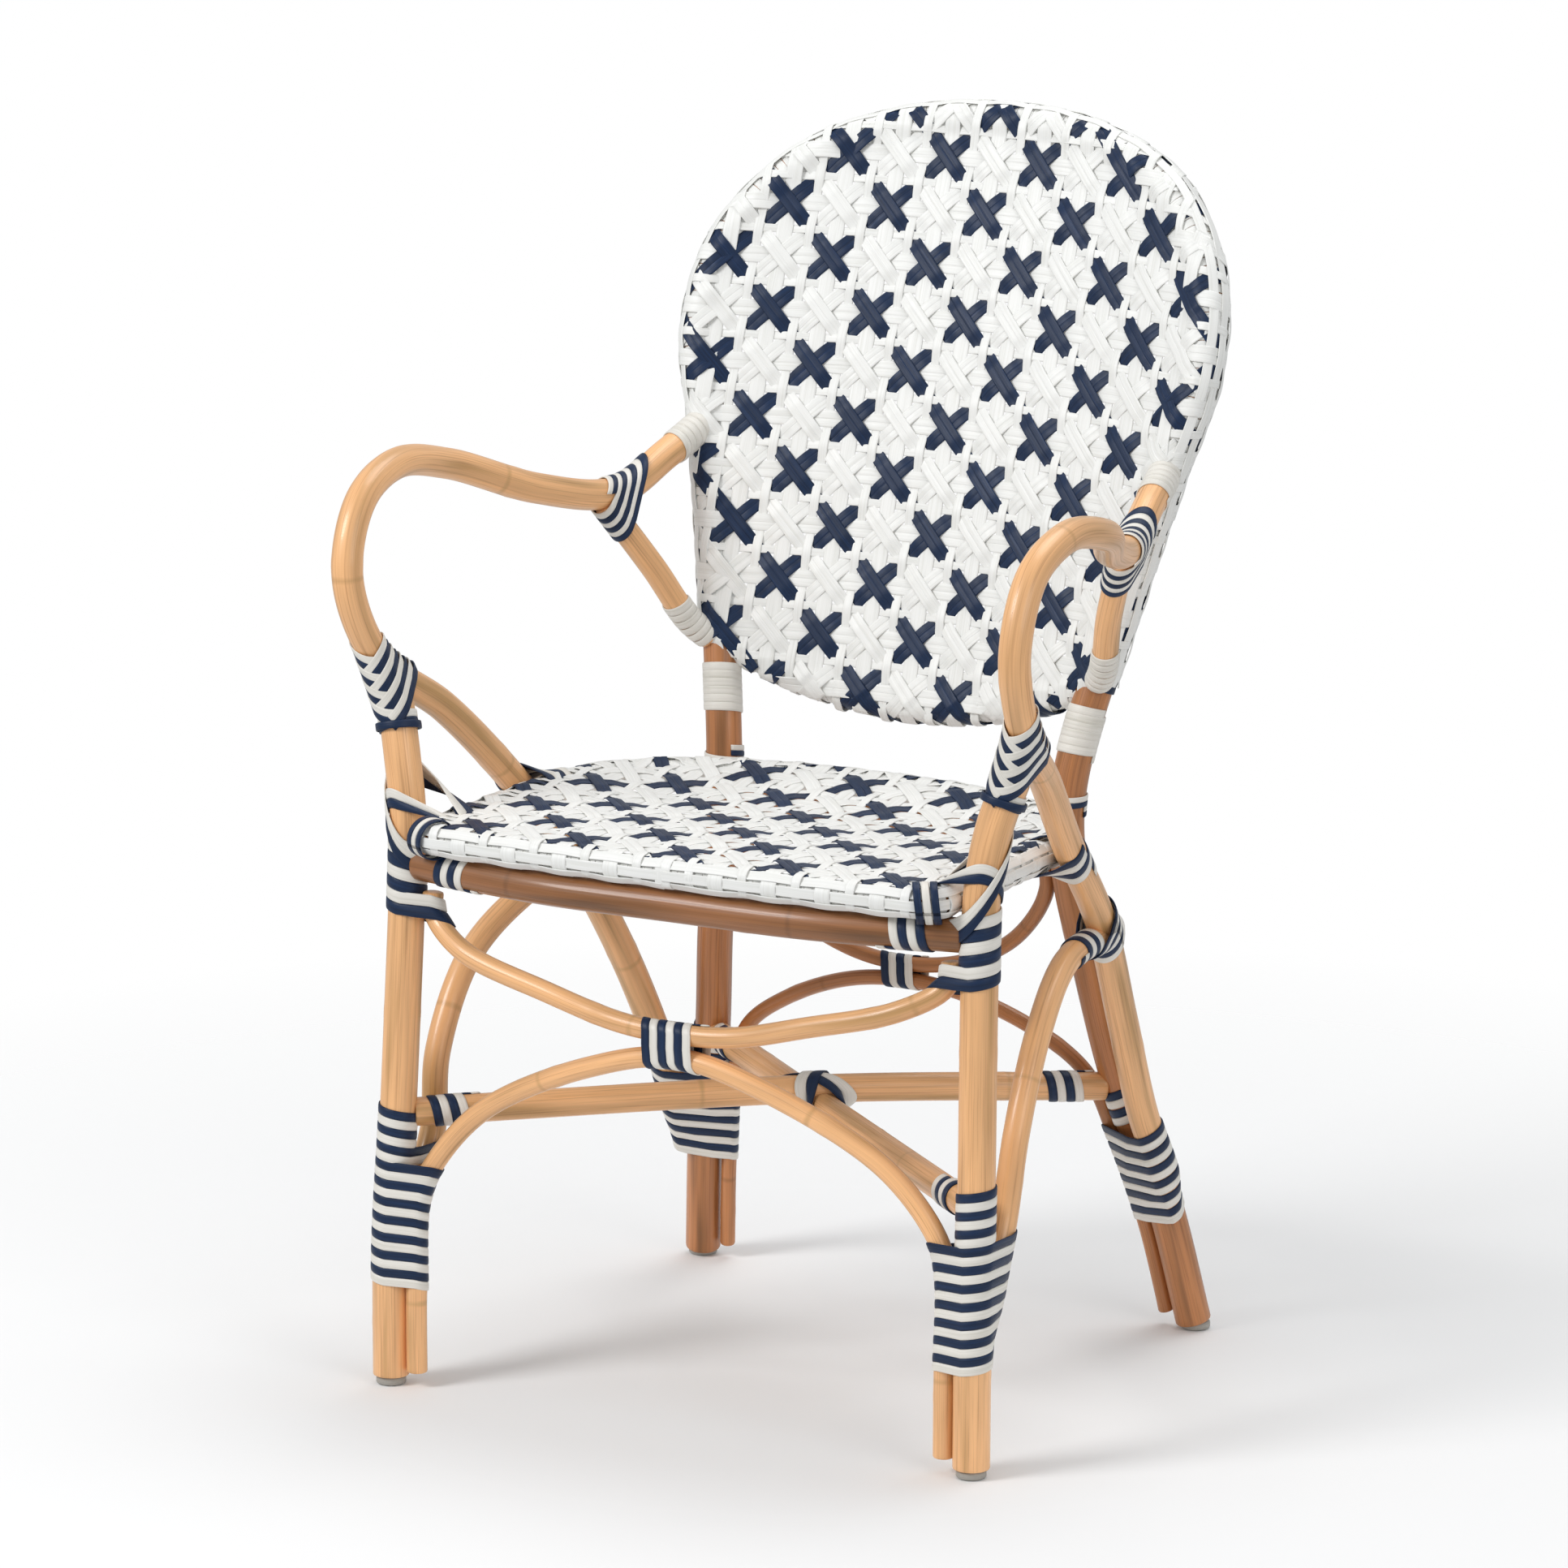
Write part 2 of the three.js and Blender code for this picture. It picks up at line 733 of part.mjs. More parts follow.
function closedTube(line, r, sides) {
  const n = line.length;
  const rings = line.map((p, i) => {
    const t = line[(i + 1) % n].clone().sub(line[(i + n - 1) % n]).normalize();
    const out = V(t.y, -t.x, 0).normalize();
    return Array.from({ length: sides }, (_, j) => {
      const a = (j / sides) * Math.PI * 2;
      const p2 = p.clone().addScaledVector(out, r * Math.cos(a));
      p2.z += r * Math.sin(a);
      return p2;
    });
  });
  const points = rings.flat();
  const tris = [];
  for (let i = 0; i < n; i++)
    for (let j = 0; j < sides; j++) {
      const k = (i + 1) % n;
      const a = i * sides + j;
      const b = i * sides + ((j + 1) % sides);
      const c = k * sides + ((j + 1) % sides);
      const d = k * sides + j;
      tris.push([a, c, b], [a, d, c]);
    }
  return solid(points, tris);
}

// How far the seat has sunk at a place: most in front of its back rim, and nothing at its edges
const dishRise = [0.2, 0.8];
const dishFall = [0.85, 0.94];
const dishSide = [0.5, 0.92];
function sunk(x, y) {
  const u = (y + seatNose) / (seatBack + seatNose);
  const deep = smooth(u, ...dishRise) * (1 - smooth(u, ...dishFall));
  return seatDish * deep * (1 - smooth(Math.abs(x) / sideFront, ...dishSide));
}
const dishShares = [0.88, 0.7, 0.45, 0.2];

// A slab between two surfaces over a grid of half cells, whose nodes place gives by their numbers
function gridSlab([i0, i1], [j0, j1], place) {
  const wide = i1 - i0 + 1;
  const points = [];
  for (const upper of [true, false])
    for (let j = j0; j <= j1; j++) for (let i = i0; i <= i1; i++) points.push(place(i, j, upper));
  const at = (i, j) => j * wide + i;
  const under = points.length / 2;
  const tris = [];
  const rows = j1 - j0;
  const columns = i1 - i0;
  for (let j = 0; j < rows; j++)
    for (let i = 0; i < columns; i++) {
      const [a, b, c, d] = [at(i, j), at(i + 1, j), at(i + 1, j + 1), at(i, j + 1)];
      const even = (i + i0 + j + j0) % 2 === 0;
      const top = even ? [[a, b, c], [a, c, d]] : [[a, b, d], [b, c, d]];
      tris.push(...top, ...top.map(([p, q, r]) => [p + under, r + under, q + under]));
    }
  const edge = [];
  for (let i = 0; i < columns; i++) edge.push([at(i, 0), at(i + 1, 0)]);
  for (let j = 0; j < rows; j++) edge.push([at(columns, j), at(columns, j + 1)]);
  for (let i = columns; i > 0; i--) edge.push([at(i, rows), at(i - 1, rows)]);
  for (let j = rows; j > 0; j--) edge.push([at(0, j), at(0, j - 1)]);
  for (const [a, b] of edge) tris.push([a, a + under, b + under], [a, b + under, b]);
  const made = solid(points, tris);
  return made.volume() > 0 ? made : solid(points, tris.map(([a, b, c]) => [a, c, b]));
}
const odd = (k) => Math.abs(k) % 2 === 1;
const relief = (i, j) => (odd(i) && odd(j) ? reliefCorner : odd(i) || odd(j) ? reliefDeep : 0);
const halfCells = (reach, cell) => Math.ceil((2 * reach) / cell) + 1;

// Woven seat: a dished skin over a rounded rim that wraps the ring and is open below on its inner side
function wovenSeat() {
  const r = rimR;
  const arc = [75, 45, 15, -15, -45, -75].map((deg) => {
    const a = THREE.MathUtils.degToRad(deg);
    return [r * (1 - Math.cos(a)), rimHigh + r * Math.sin(a)];
  });
  const profile = [[r, seatHigh], ...arc, [r, seatLow], [seatRecess, seatLow]];
  profile.push([seatRecess, seatHigh - seatSkin]);
  const rings = profile.map(([by, z]) => inset(by, z));
  const dished = (share, by, z) => {
    const middle = seatCentre(z);
    return inset(by, z).map((p) => {
      const q = middle.clone().lerp(p, share);
      return V(q.x, q.y, z - sunk(q.x, q.y));
    });
  };
  const under = dishShares.map((share) => dished(share, seatRecess, seatHigh - seatSkin));
  const centre = (z) => seatCentre(z).setZ(z - sunk(0, seatCentre(z).y));
  const all = [...rings, ...under];
  const body = loft(all.reverse(), centre(seatHigh - seatSkin), seatCentre(seatHigh + reliefDeep));
  const across = halfCells(sideFront, seatCellWide);
  const place = (i, j, upper) => {
    const x = (i * seatCellWide) / 2;
    const y = seatCellFront + (j * seatCellDeep) / 2;
    const z = upper ? seatHigh - sunk(x, y) - relief(i, j) : seatLow - seatThick;
    return V(x, y, z);
  };
  const deep = [-halfCells(seatNose + seatCellFront, seatCellDeep), halfCells(seatBack, seatCellDeep)];
  return body.intersect(gridSlab([-across, across], deep, place));
}

// Backrest: bottom rail, and a woven skin whose rim wraps the hoop and the bottom rail
const backCorner = hoopAt(backCornerHigh);
const bottomRail = new Route(
  both(
    [1, 0.75, 0.5, 0.25, 0].map((s) => {
      const z = backCornerHigh - backBottomDrop * (1 - s * s);
      return onBack(backCorner.x * s, z);
    }),
  ),
  bottomRailR,
);
const backRimR = hoopR + clearance + weaveWrap;
const bottomRimR = bottomRailR + clearance + weaveWrap;
const rimFrom = hoop.high(backRimFoot);

function backNormal(x, z) {
  const e = 1e-3 * backHalf;
  const dx = (backDepth(x + e, z) - backDepth(x - e, z)) / (2 * e);
  const dz = (backDepth(x, z + e) - backDepth(x, z - e)) / (2 * e);
  return V(-dx, 1, -dz).normalize();
}

function wovenBack() {
  const cornerFrom = hoop.high(backCornerHigh);
  const edge = [];
  const hoopSteps = 34;
  for (let i = 0; i <= hoopSteps; i++)
    edge.push(hoop.at(mix(cornerFrom, hoop.length - cornerFrom, i / hoopSteps)));
  const railSteps = 10;
  for (let i = 1; i < railSteps; i++)
    edge.push(bottomRail.at(mix(bottomRail.length, 0, i / railSteps)));
  const walls = [0, 2 * footDepth].map((y) => edge.map((p) => V(p.x, y, p.z)));
  const facing = loft(walls);
  const inside = facing.volume() > 0 ? facing : loft(walls.reverse());
  const across = halfCells(backHalf, backCellWide);
  const rise = halfCells(backHigh - backCellFoot, backCellHigh);
  const place = (i, j, upper) => {
    const x = (i * backCellWide) / 2;
    const z = backCellFoot + (j * backCellHigh) / 2;
    const by = upper ? backWeaveTop - relief(i, j) : backWeaveUnder;
    return onBack(x, z).addScaledVector(backNormal(x, z), -by);
  };
  const skin = largest(gridSlab([-across, across], [-2, rise], place).intersect(inside));
  const rim = pole(hoop, {
    grow: backRimR - hoopR,
    sides: 14,
    from: rimFrom,
    to: hoop.length - rimFrom,
  });
  const low = pole(bottomRail, { grow: bottomRimR - bottomRailR, sides: 14 });
  return { skin, rim, low };
}

// Axes for windings
const along = (route, from, to, ref) => (t) => {
  const d = mix(from, to, t);
  return { c: route.at(d), n: route.dir(d).multiplyScalar(to > from ? 1 : -1), ref };
};
const X = V(1, 0, 0);
const Y = V(0, 1, 0);
const Z = V(0, 0, 1);

// A second layer of strip lies clear of the corners of the first.
const layerLift = (r) =>
  bandThick + layerGap + (r + clearance + bandThick) * (1 / Math.cos(Math.PI / stepsPerTurn) - 1);

// Lashing round two crossing poles: one loop in a diagonal plane, a change of plane on the far side of
// the second pole, and one loop in the other diagonal plane, so that an X shows on the first pole.
function crossed({ first, second, pa, pb, da, db, width, pitch }) {
  const e = pb.clone().sub(pa).normalize();
  const flat = (v) => v.clone().addScaledVector(e, -v.dot(e)).normalize();
  const one = flat(da.clone().add(db));
  const two = flat(db.clone().sub(da));
  const side = Math.sign(one.clone().cross(two).dot(e)) || 1;
  const swing = one.angleTo(two);
  const c = pa.clone().lerp(pb, 0.5);
  const turns = 2;
  const half = pitch / 2;
  const change = { from: 0.94, to: 1.06, liftFrom: 0.6, liftTo: 0.88 };
  const axis = (t) => {
    const turned = t * turns;
    const w = smooth(turned, change.from, change.to);
    const n = one.clone().applyAxisAngle(e, swing * w * side);
    const shift = mix(mix(-half, half, turned), mix(-half, half, turned - 1), w);
    return { c: c.clone().addScaledVector(n, shift), n, ref: e };
  };
  const r = Math.max(first.radiusAt(first.near(pa)), second.radiusAt(second.near(pb)));
  const lift = (turned) => layerLift(r) * smooth(turned, change.liftFrom, change.liftTo);
  const cores = [{ route: first }, { route: second }];
  return { cores, axis, turns, width, lift, loose: clearance };
}

const windings = [];
const strip = (name, options) => windings.push({ name, options });
const pair = (name, options) => {
  strip(name + "_right", options);
  const cores = options.cores.map((core) => ({ ...core, route: core.route.flipped() }));
  const axis = (t) => {
    const f = options.axis(t);
    return { c: mirrored(f.c), n: mirrored(f.n), ref: mirrored(f.ref) };
  };
  strip(name + "_left", { ...options, cores, axis, hand: -1, start: -(options.start ?? 0) });
};

// Front leg, top: round the leg and the end of the front bow
const legTopShares = { low: 0.83, high: 0.932 };
const legTopAxis = along(leg, leg.high(level(legTopShares.high)), leg.high(level(legTopShares.low)), X);
const legTopRun = level(legTopShares.high) - level(legTopShares.low);
const bowEndAt = (level(legTopShares.high) - bowTop - bandWide / 2) / legTopRun;
const legTop = {
  cores: [{ route: leg }, { route: frontBow, from: bowEndAt }],
  axis: legTopAxis,
  loose: clearance,
  turns: turnsFor(leg.high(level(legTopShares.high)) - leg.high(level(legTopShares.low))),
  width: bandWide,
};
pair("leg_top_binding", legTop);

// Front leg, low: round the leg, the foot of the side arch and the tail of the front arch
const legLowShares = { high: 0.487, low: 0.182, arch: 0.43, tail: 0.385 };
const legLowAxis = along(leg, leg.high(level(legLowShares.high)), leg.high(level(legLowShares.low)), X);
const legLowAt = (share) => (legLowShares.high - share) / (legLowShares.high - legLowShares.low);
const legLow = {
  cores: [
    { route: leg },
    { route: arch, from: legLowAt(legLowShares.arch) },
    { route: frontArch, from: legLowAt(legLowShares.tail) },
  ],
  axis: legLowAxis,
  turns: turnsFor(leg.high(level(legLowShares.high)) - leg.high(level(legLowShares.low))),
  width: bandWide - layerGap,
};
pair("leg_low_binding", legLow);

// Rear leg, low: round the leg, the foot of the brace and the tail of the rear arch
const rearLowShares = { high: 0.46, low: 0.215, brace: 0.41, tail: 0.385 };
const rearLowAxis = along(hoop, hoop.high(level(rearLowShares.high)), hoop.high(level(rearLowShares.low)), X);
const rearLowAt = (share) => (rearLowShares.high - share) / (rearLowShares.high - rearLowShares.low);
const rearLow = {
  cores: [
    { route: hoop },
    { route: arm, from: rearLowAt(rearLowShares.brace) },
    { route: rearArch, from: rearLowAt(rearLowShares.tail) },
  ],
  axis: rearLowAxis,
  turns: turnsFor(hoop.high(level(rearLowShares.high)) - hoop.high(level(rearLowShares.low))),
  width: bandWide - layerGap,
};
pair("rear_leg_binding", rearLow);

// Ends of the front rail
const railWrap = { start: wrapGrow + legR + 2 * bandWide, run: 28 };
pair("front_rail_wrap", {
  cores: [{ route: frontRail }],
  axis: along(frontRail, railWrap.start, railWrap.start + railWrap.run, Z),
  turns: 2,
  width: bandWide,
});

// Ends of the diagonal stretchers
const endWrap = { start: wrapGrow + legR + bandWide, run: 28 };
for (const [name, route] of [
  ["diagonal_a", diagonalA],
  ["diagonal_b", diagonalB],
]) {
  strip(name + "_front_wrap", {
    cores: [{ route }],
    axis: along(route, endWrap.start, endWrap.start + endWrap.run, Z),
    turns: 2,
    width: bandWide,
  });
  const far = route.length - endWrap.start;
  strip(name + "_rear_wrap", {
    cores: [{ route }],
    axis: along(route, far - endWrap.run, far, Z),
    turns: 2,
    width: bandWide,
  });
}

// Middles of the front and rear stretchers
const midAxis = (half, y, z) => (t) => ({ c: V(mix(-half, half, t), y, z), n: X, ref: Z });
const frontMidHalf = 21;
strip("front_centre_binding", {
  cores: [{ route: frontBow }, { route: frontArch }],
  axis: midAxis(frontMidHalf, frontBowMid.y, frontBowMid.z - frontStretcherR - tieGap / 2),
  turns: 3,
  width: bandWide,
});
const rearMidHalf = 14;
strip("rear_centre_binding", {
  cores: [{ route: rearBow }, { route: rearArch }],
  axis: midAxis(rearMidHalf, rearBowMid.y, rearBowMid.z - rearStretcherR - rearTie / 2),
  turns: 2,
  width: bandWide,
});

// Crossing of the diagonals
const crossA = diagonalA.near(V(0, leg.at(0).y + footDepth / 2, upperHigh));
const crossB = diagonalB.near(diagonalA.at(crossA));
strip(
  "diagonal_cross_lashing",
  crossed({
    first: diagonalA,
    second: diagonalB,
    pa: diagonalA.at(crossA),
    pb: diagonalA.at(crossA).setZ(lowerHigh),
    da: diagonalA.dir(crossA),
    db: diagonalB.dir(crossB),
    width: bandWide,
    pitch: bandPitch,
  }),
);

// Arm front: a criss-cross binding round the top of the leg and the arm pole
const armLowShare = 1.31;
const armHighShare = 1.5;
const legEnd = leg.at(leg.length);
const armBeside = (z) => {
  const d0 = arm.near(V(frontHalf * 1.128, 0, level(1.712)));
  for (let d = d0; d < arm.length; d += arm.step()) if (arm.at(d).z < z) return d;
  return d0;
};
const armLowAt = armBeside(level(armLowShare));
const armHighAt = armBeside(level(armHighShare));
const legLowPoint = leg.at(leg.high(level(1.23)));
const frontLow = arm.at(armLowAt).lerp(legLowPoint, 0.5);
const frontHigh = arm.at(armHighAt);
const frontDir = leg.dir(leg.length).sub(arm.dir(armHighAt)).normalize();
const armFrontAxis = (t) => ({ c: frontLow.clone().lerp(frontHigh, t), n: frontDir, ref: X });
const armFrontTurns = 4;
const crossLift = (turned) =>
  layerLift(legR) * smooth(turned, armFrontTurns / 2 - 0.4, armFrontTurns / 2);
const armFront = {
  cores: [{ route: arm }, { route: leg, to: 0.62 }],
  axis: armFrontAxis,
  turns: armFrontTurns,
  width: crossWide,
  passes: [0, 1, 0],
  lift: crossLift,
  loose: clearance,
};
pair("arm_front_binding", armFront);

// Arm back: leaning loops round the armrest and the top of the prop
const armBackFar = 29;
const armBackNear = 3;
const propTop = prop.at(prop.length);
const armBackDir = arm.dir(arm.near(propTop)).add(prop.dir(prop.length)).normalize();
pair("arm_back_binding", {
  cores: [{ route: arm }, { route: prop }],
  axis: (t) => ({
    c: propTop.clone().addScaledVector(armBackDir, -mix(armBackFar, armBackNear, t)),
    n: armBackDir,
    ref: X,
  }),
  turns: 3.5,
  width: armBackWide,
  loose: 3 * clearance,
});

// Tops of the side arches
const archWrap = { gap: armR + wrapGrow + bandWide / 2, run: 36 };
const archWrapFrom = arch.length - archWrap.gap - archWrap.run;
pair("arch_top_wrap", {
  cores: [{ route: arch }],
  axis: along(arch, archWrapFrom, archWrapFrom + archWrap.run, X),
  turns: 2.6,
  width: bandWide - layerGap,
});

// Seat lashings: round each front leg and the seat's rim, and round each brace and the rim
const rimHalf = ringLine.filter((p) => p.x > seatCorner && p.y < seatBack - rimR);
const rimRoute = new Route(rimHalf, rimR);
const lashBehind = 11;
const lashRise = 12;
function rimBeside(p, behindBy) {
  const d = rimRoute.near(V(p.x - legR - rimR, p.y + behindBy, rimHigh));
  const reachOut = rimRoute.dir(d).multiplyScalar(3 * bandPitch);
  const spot = rimRoute.at(d);
  return { spot, dir: rimRoute.dir(d), run: new Route([spot.clone().sub(reachOut), spot, spot.clone().add(reachOut)], rimR) };
}
const byLeg = rimBeside(legAtSeat, lashBehind);
pair(
  "seat_leg_lashing",
  crossed({
    first: leg,
    second: byLeg.run,
    pa: leg.at(leg.high(rimHigh + lashRise)),
    pb: byLeg.spot,
    da: Z,
    db: byLeg.dir,
    width: lashWide,
    pitch: lashPitch,
  }),
);
const byBrace = rimBeside(braceAtSeat, 0);
const braceDir = arm.dir(arm.near(braceAtSeat));
const braceBisector = braceDir.clone().addScaledVector(byBrace.dir, Math.sign(braceDir.dot(byBrace.dir))).normalize();
const braceSpot = braceAtSeat.clone().lerp(byBrace.spot, 0.5);
pair("seat_brace_lashing", {
  cores: [{ route: arm }, { route: byBrace.run }],
  axis: (t) => ({
    c: braceSpot.clone().addScaledVector(braceBisector, mix(-bandPitch, bandPitch, t)),
    n: braceBisector,
    ref: X,
  }),
  turns: 2,
  width: bandWide,
});

// Posts: a lashing at the seat, and a plain wrap under the backrest's corners
const postLash = { low: 0.957, run: 14 };
const postFrom = hoop.high(level(postLash.low));
pair("post_lashing", {
  cores: [{ route: hoop }],
  axis: along(hoop, postFrom, postFrom + postLash.run, X),
  turns: 1.6,
  width: wrapWide,
  loose: clearance,
});
const cornerWrap = { low: 1.09, turns: 4 };
const cornerFoot = hoop.high(level(cornerWrap.low));
const cornerRun = rimFrom - cornerFoot - wrapWide / 2 - clearance;
pair("corner_wrap", {
  cores: [{ route: hoop }],
  axis: along(hoop, cornerFoot, cornerFoot + cornerRun - wrapWide / 2, X),
  turns: cornerWrap.turns,
  width: wrapWide,
});
function clearOf(route, other, gap) {
  const clear = (p) => other.at(other.near(p)).distanceTo(p) >= gap;
  return route.points.findIndex(clear) * route.step();
}
const armEndFrom = clearOf(arm, hoop, backRimR + wrapWide + clearance);
pair("arm_end_wrap", {
  cores: [{ route: arm }],
  axis: along(arm, armEndFrom, armEndFrom + wrapWide * 1.8, X),
  turns: 1.6,
  width: wrapWide,
});
const propEndFrom = clearOf(prop, hoop, backRimR + wrapWide + clearance);
pair("prop_end_wrap", {
  cores: [{ route: prop }],
  axis: along(prop, propEndFrom, propEndFrom + wrapWide * 2.6, X),
  turns: 2,
  width: wrapWide,
});

// Materials, one for each piece
const looks = {
  pole: { color: 0xdcb182, roughness: 0.38 },
  dark: { color: 0xb98352, roughness: 0.4 },
  weave: { color: 0xf0f0ee, roughness: 0.5 },
  band: { color: 0x26344f, roughness: 0.42 },
  white: { color: 0xe6e2da, roughness: 0.5 },
  glide: { color: 0xb9b6b0, roughness: 0.35 },
};
const chair = new THREE.Group();
function add(name, made, look) {
  const { vertProperties, numProp, triVerts } = made.getMesh();
  const position = new Float32Array((vertProperties.length / numProp) * 3);
  for (let i = 0; i < position.length / 3; i++)
    position.set(vertProperties.subarray(i * numProp, i * numProp + 3), i * 3);
  const geometry = new THREE.BufferGeometry();
  geometry.setAttribute("position", new THREE.BufferAttribute(position, 3));
  geometry.setIndex(new THREE.BufferAttribute(triVerts, 1));
  geometry.computeVertexNormals();
  const material = new THREE.MeshStandardMaterial({ metalness: 0, ...looks[look] });
  const mesh = new THREE.Mesh(geometry, material);
  mesh.name = name;
  chair.add(mesh);
}

// Strips first, because other pieces are cut round some of them
const made = new Map();
for (const { name, options } of windings) {
  const { rings, made: body } = wind(options);
  made.set(name, body);
  const plain = /corner|_end_wrap/.test(name);
  add(name, body, plain ? "white" : "band");
  console.log(name, "least gap to itself", leastGap(rings).toFixed(2), "mm");
}
const optionsOf = new Map(windings.map((w) => [w.name, w.options]));
const slot = (name) => wind({ ...optionsOf.get(name), pad: 2 * clearance }).made;

const sidesOf = (r) => (r > 12 ? 12 : r > 8 ? 10 : 8);
const body = (route, r) => pole(route, { sides: sidesOf(r) });
const flip = (s) => s.mirror([1, 0, 0]);
const twoSides = (name, right, look) => {
  add(name + "_right", right, look);
  add(name + "_left", flip(right), look);
};

// Hoop, legs and arm poles
const footHigh = glideHigh + clearance;
add("back_hoop", above(body(hoop, hoopR), footHigh), "dark");
const armBody = cut(body(arm, armR), hollow(hoop, backRimR - hoopR + clearance));
twoSides("arm_pole", armBody, "pole");
twoSides("front_leg", above(cut(body(leg, legR), hollow(arm)), footHigh), "pole");
const propBody = cut(body(prop, propR), hollow(arm), hollow(hoop, backRimR - hoopR + clearance));
twoSides("arm_prop", propBody, "dark");
twoSides("side_arch", cut(body(arch, archR), hollow(arm), hollow(leg)), "pole");

// Stretchers and rails
add("front_bow_stretcher", body(frontBow, frontStretcherR), "pole");
add("front_arch_stretcher", above(body(frontArch, frontStretcherR), tailFoot), "pole");
add("rear_bow_stretcher", body(rearBow, rearStretcherR), "dark");
add("rear_arch_stretcher", above(body(rearArch, rearStretcherR), tailFoot), "dark");
const legSleeve = sleeve({ ...legLow, extra: wrapGrow, rings: 12 });
const rearSleeve = sleeve({ ...rearLow, extra: wrapGrow, rings: 12 });
const ends = [legSleeve, flip(legSleeve), rearSleeve, flip(rearSleeve)];
const legTools = [hollow(leg), flip(hollow(leg)), hollow(hoop)];
add("diagonal_a", cut(body(diagonalA, diagonalR), ...ends, ...legTools), "pole");
add("diagonal_b", cut(body(diagonalB, diagonalR), ...ends, ...legTools, hollow(diagonalA)), "pole");
const topSleeve = pole(leg, {
  grow: wrapGrow,
  sides: 16,
  around: true,
  from: leg.high(frontRailHigh - 3 * frontRailR),
  to: leg.high(frontRailHigh + 3 * frontRailR),
});
const lashRoom = pole(byLeg.run, { grow: 4 * layerLift(rimR), sides: 16, around: true });
const lashSlots = ["seat_leg_lashing_right", "seat_leg_lashing_left"].map(slot);
const braceSlots = ["seat_brace_lashing_right", "seat_brace_lashing_left"].map(slot);
add(
  "front_rail",
  cut(body(frontRail, frontRailR), topSleeve, flip(topSleeve), lashRoom, flip(lashRoom), ...lashSlots),
  "dark",
);
add("rear_rail", cut(body(rearRail, rearRailR), hollow(hoop)), "dark");

// Seat
const ringSolid = closedTube(ringLine, seatRingR, 8);
add("seat_ring", ringSolid, "dark");
const groove = closedTube(ringLine, seatRingR + clearance / Math.cos(Math.PI / 8), 8);
const seatCuts = [hollow(leg), flip(hollow(leg)), hollow(arm), flip(hollow(arm)), hollow(hoop)];
add("woven_seat", cut(wovenSeat(), groove, ...seatCuts, ...lashSlots, ...braceSlots), "weave");

// Backrest
add("back_bottom_rail", cut(body(bottomRail, bottomRailR), hollow(hoop)), "dark");
const { skin, rim, low } = wovenBack();
add(
  "woven_back",
  cut(skin.add(rim).add(low), hollow(hoop), hollow(bottomRail)),
  "weave",
);

// Glides under the four feet
function glide(x, y) {
  const profile = [
    [glideFlatR, 0],
    [glideR, glideEdge],
    [glideR, glideHigh],
  ];
  const rings = profile.map(([r, z]) =>
    Array.from({ length: 16 }, (_, j) => {
      const a = (j / 16) * Math.PI * 2;
      return V(x + r * Math.cos(a), y + r * Math.sin(a), z);
    }),
  );
  return loft(rings);
}
twoSides("glide_front", glide(frontHalf, 0), "glide");
twoSides("glide_rear", glide(rearHalf, footDepth), "glide");

// Frame of the part: the origin is the middle of the base
const box = new THREE.Box3().setFromObject(chair);
const middle = box.getCenter(V(0, 0, 0));
chair.position.set(0, -middle.y, -box.min.z);

export default chair;
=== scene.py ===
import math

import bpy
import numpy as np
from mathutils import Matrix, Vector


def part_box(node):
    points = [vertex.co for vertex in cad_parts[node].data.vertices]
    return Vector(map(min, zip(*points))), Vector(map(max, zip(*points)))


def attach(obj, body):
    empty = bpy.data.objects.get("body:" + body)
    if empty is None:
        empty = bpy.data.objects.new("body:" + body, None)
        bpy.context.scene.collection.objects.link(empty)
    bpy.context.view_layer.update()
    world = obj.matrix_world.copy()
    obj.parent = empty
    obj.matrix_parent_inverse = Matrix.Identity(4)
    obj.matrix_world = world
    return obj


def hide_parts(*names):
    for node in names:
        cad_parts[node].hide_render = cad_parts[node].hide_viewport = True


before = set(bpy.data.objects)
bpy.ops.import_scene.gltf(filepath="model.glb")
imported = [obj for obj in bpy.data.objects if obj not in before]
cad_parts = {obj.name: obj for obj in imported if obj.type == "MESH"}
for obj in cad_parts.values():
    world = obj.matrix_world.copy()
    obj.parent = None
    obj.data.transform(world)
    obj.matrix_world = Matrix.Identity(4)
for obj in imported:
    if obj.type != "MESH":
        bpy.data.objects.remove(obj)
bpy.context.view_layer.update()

# A rattan bistro armchair: bent poles, two-colour strip bindings, and a woven seat and backrest.
# Places are worked out in millimetres, with Y from the front feet, and become metres in the frame's own
# axes when a mesh is made.

bl_info = {
    "name": "Rattan bistro armchair",
    "version": (1, 0, 0),
    "blender": (4, 5, 0),
    "location": "View3D > Sidebar > Rattan chair",
    "description": "Dresses the packed chair with smooth poles, strip bindings and woven panels",
    "category": "Add Mesh",
}

MM = 0.001
FRONT_FEET = -sum(corner[1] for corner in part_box("glide_front_right")) / 2 / MM

# Clearances and heights
clearance, beside_gap = 0.3, 1.2
seat_high, arm_high, back_high = 443.5, 697.0, 916.0
glide_high, tail_foot = 6.5, 12.0

# Spreads and depths
front_half, rear_half, waist_half, back_half = 250.0, 220.0, 151.0, 218.0
foot_depth, root_depth, back_rake, back_bow, back_curve = 430.0, 360.6, 167.5, 36.5, 0.18

# Pole radii
leg_r, hoop_r, arm_r, prop_r, arch_r, arch_tip_r = 14.0, 14.0, 12.0, 10.0, 10.0, 4.0
front_stretcher_r, rear_stretcher_r, diagonal_r, lap_depth = 8.0, 6.0, 11.0, 10.0
front_rail_r, rear_rail_r, bottom_rail_r, seat_ring_r = 13.0, 11.0, 11.0, 9.4

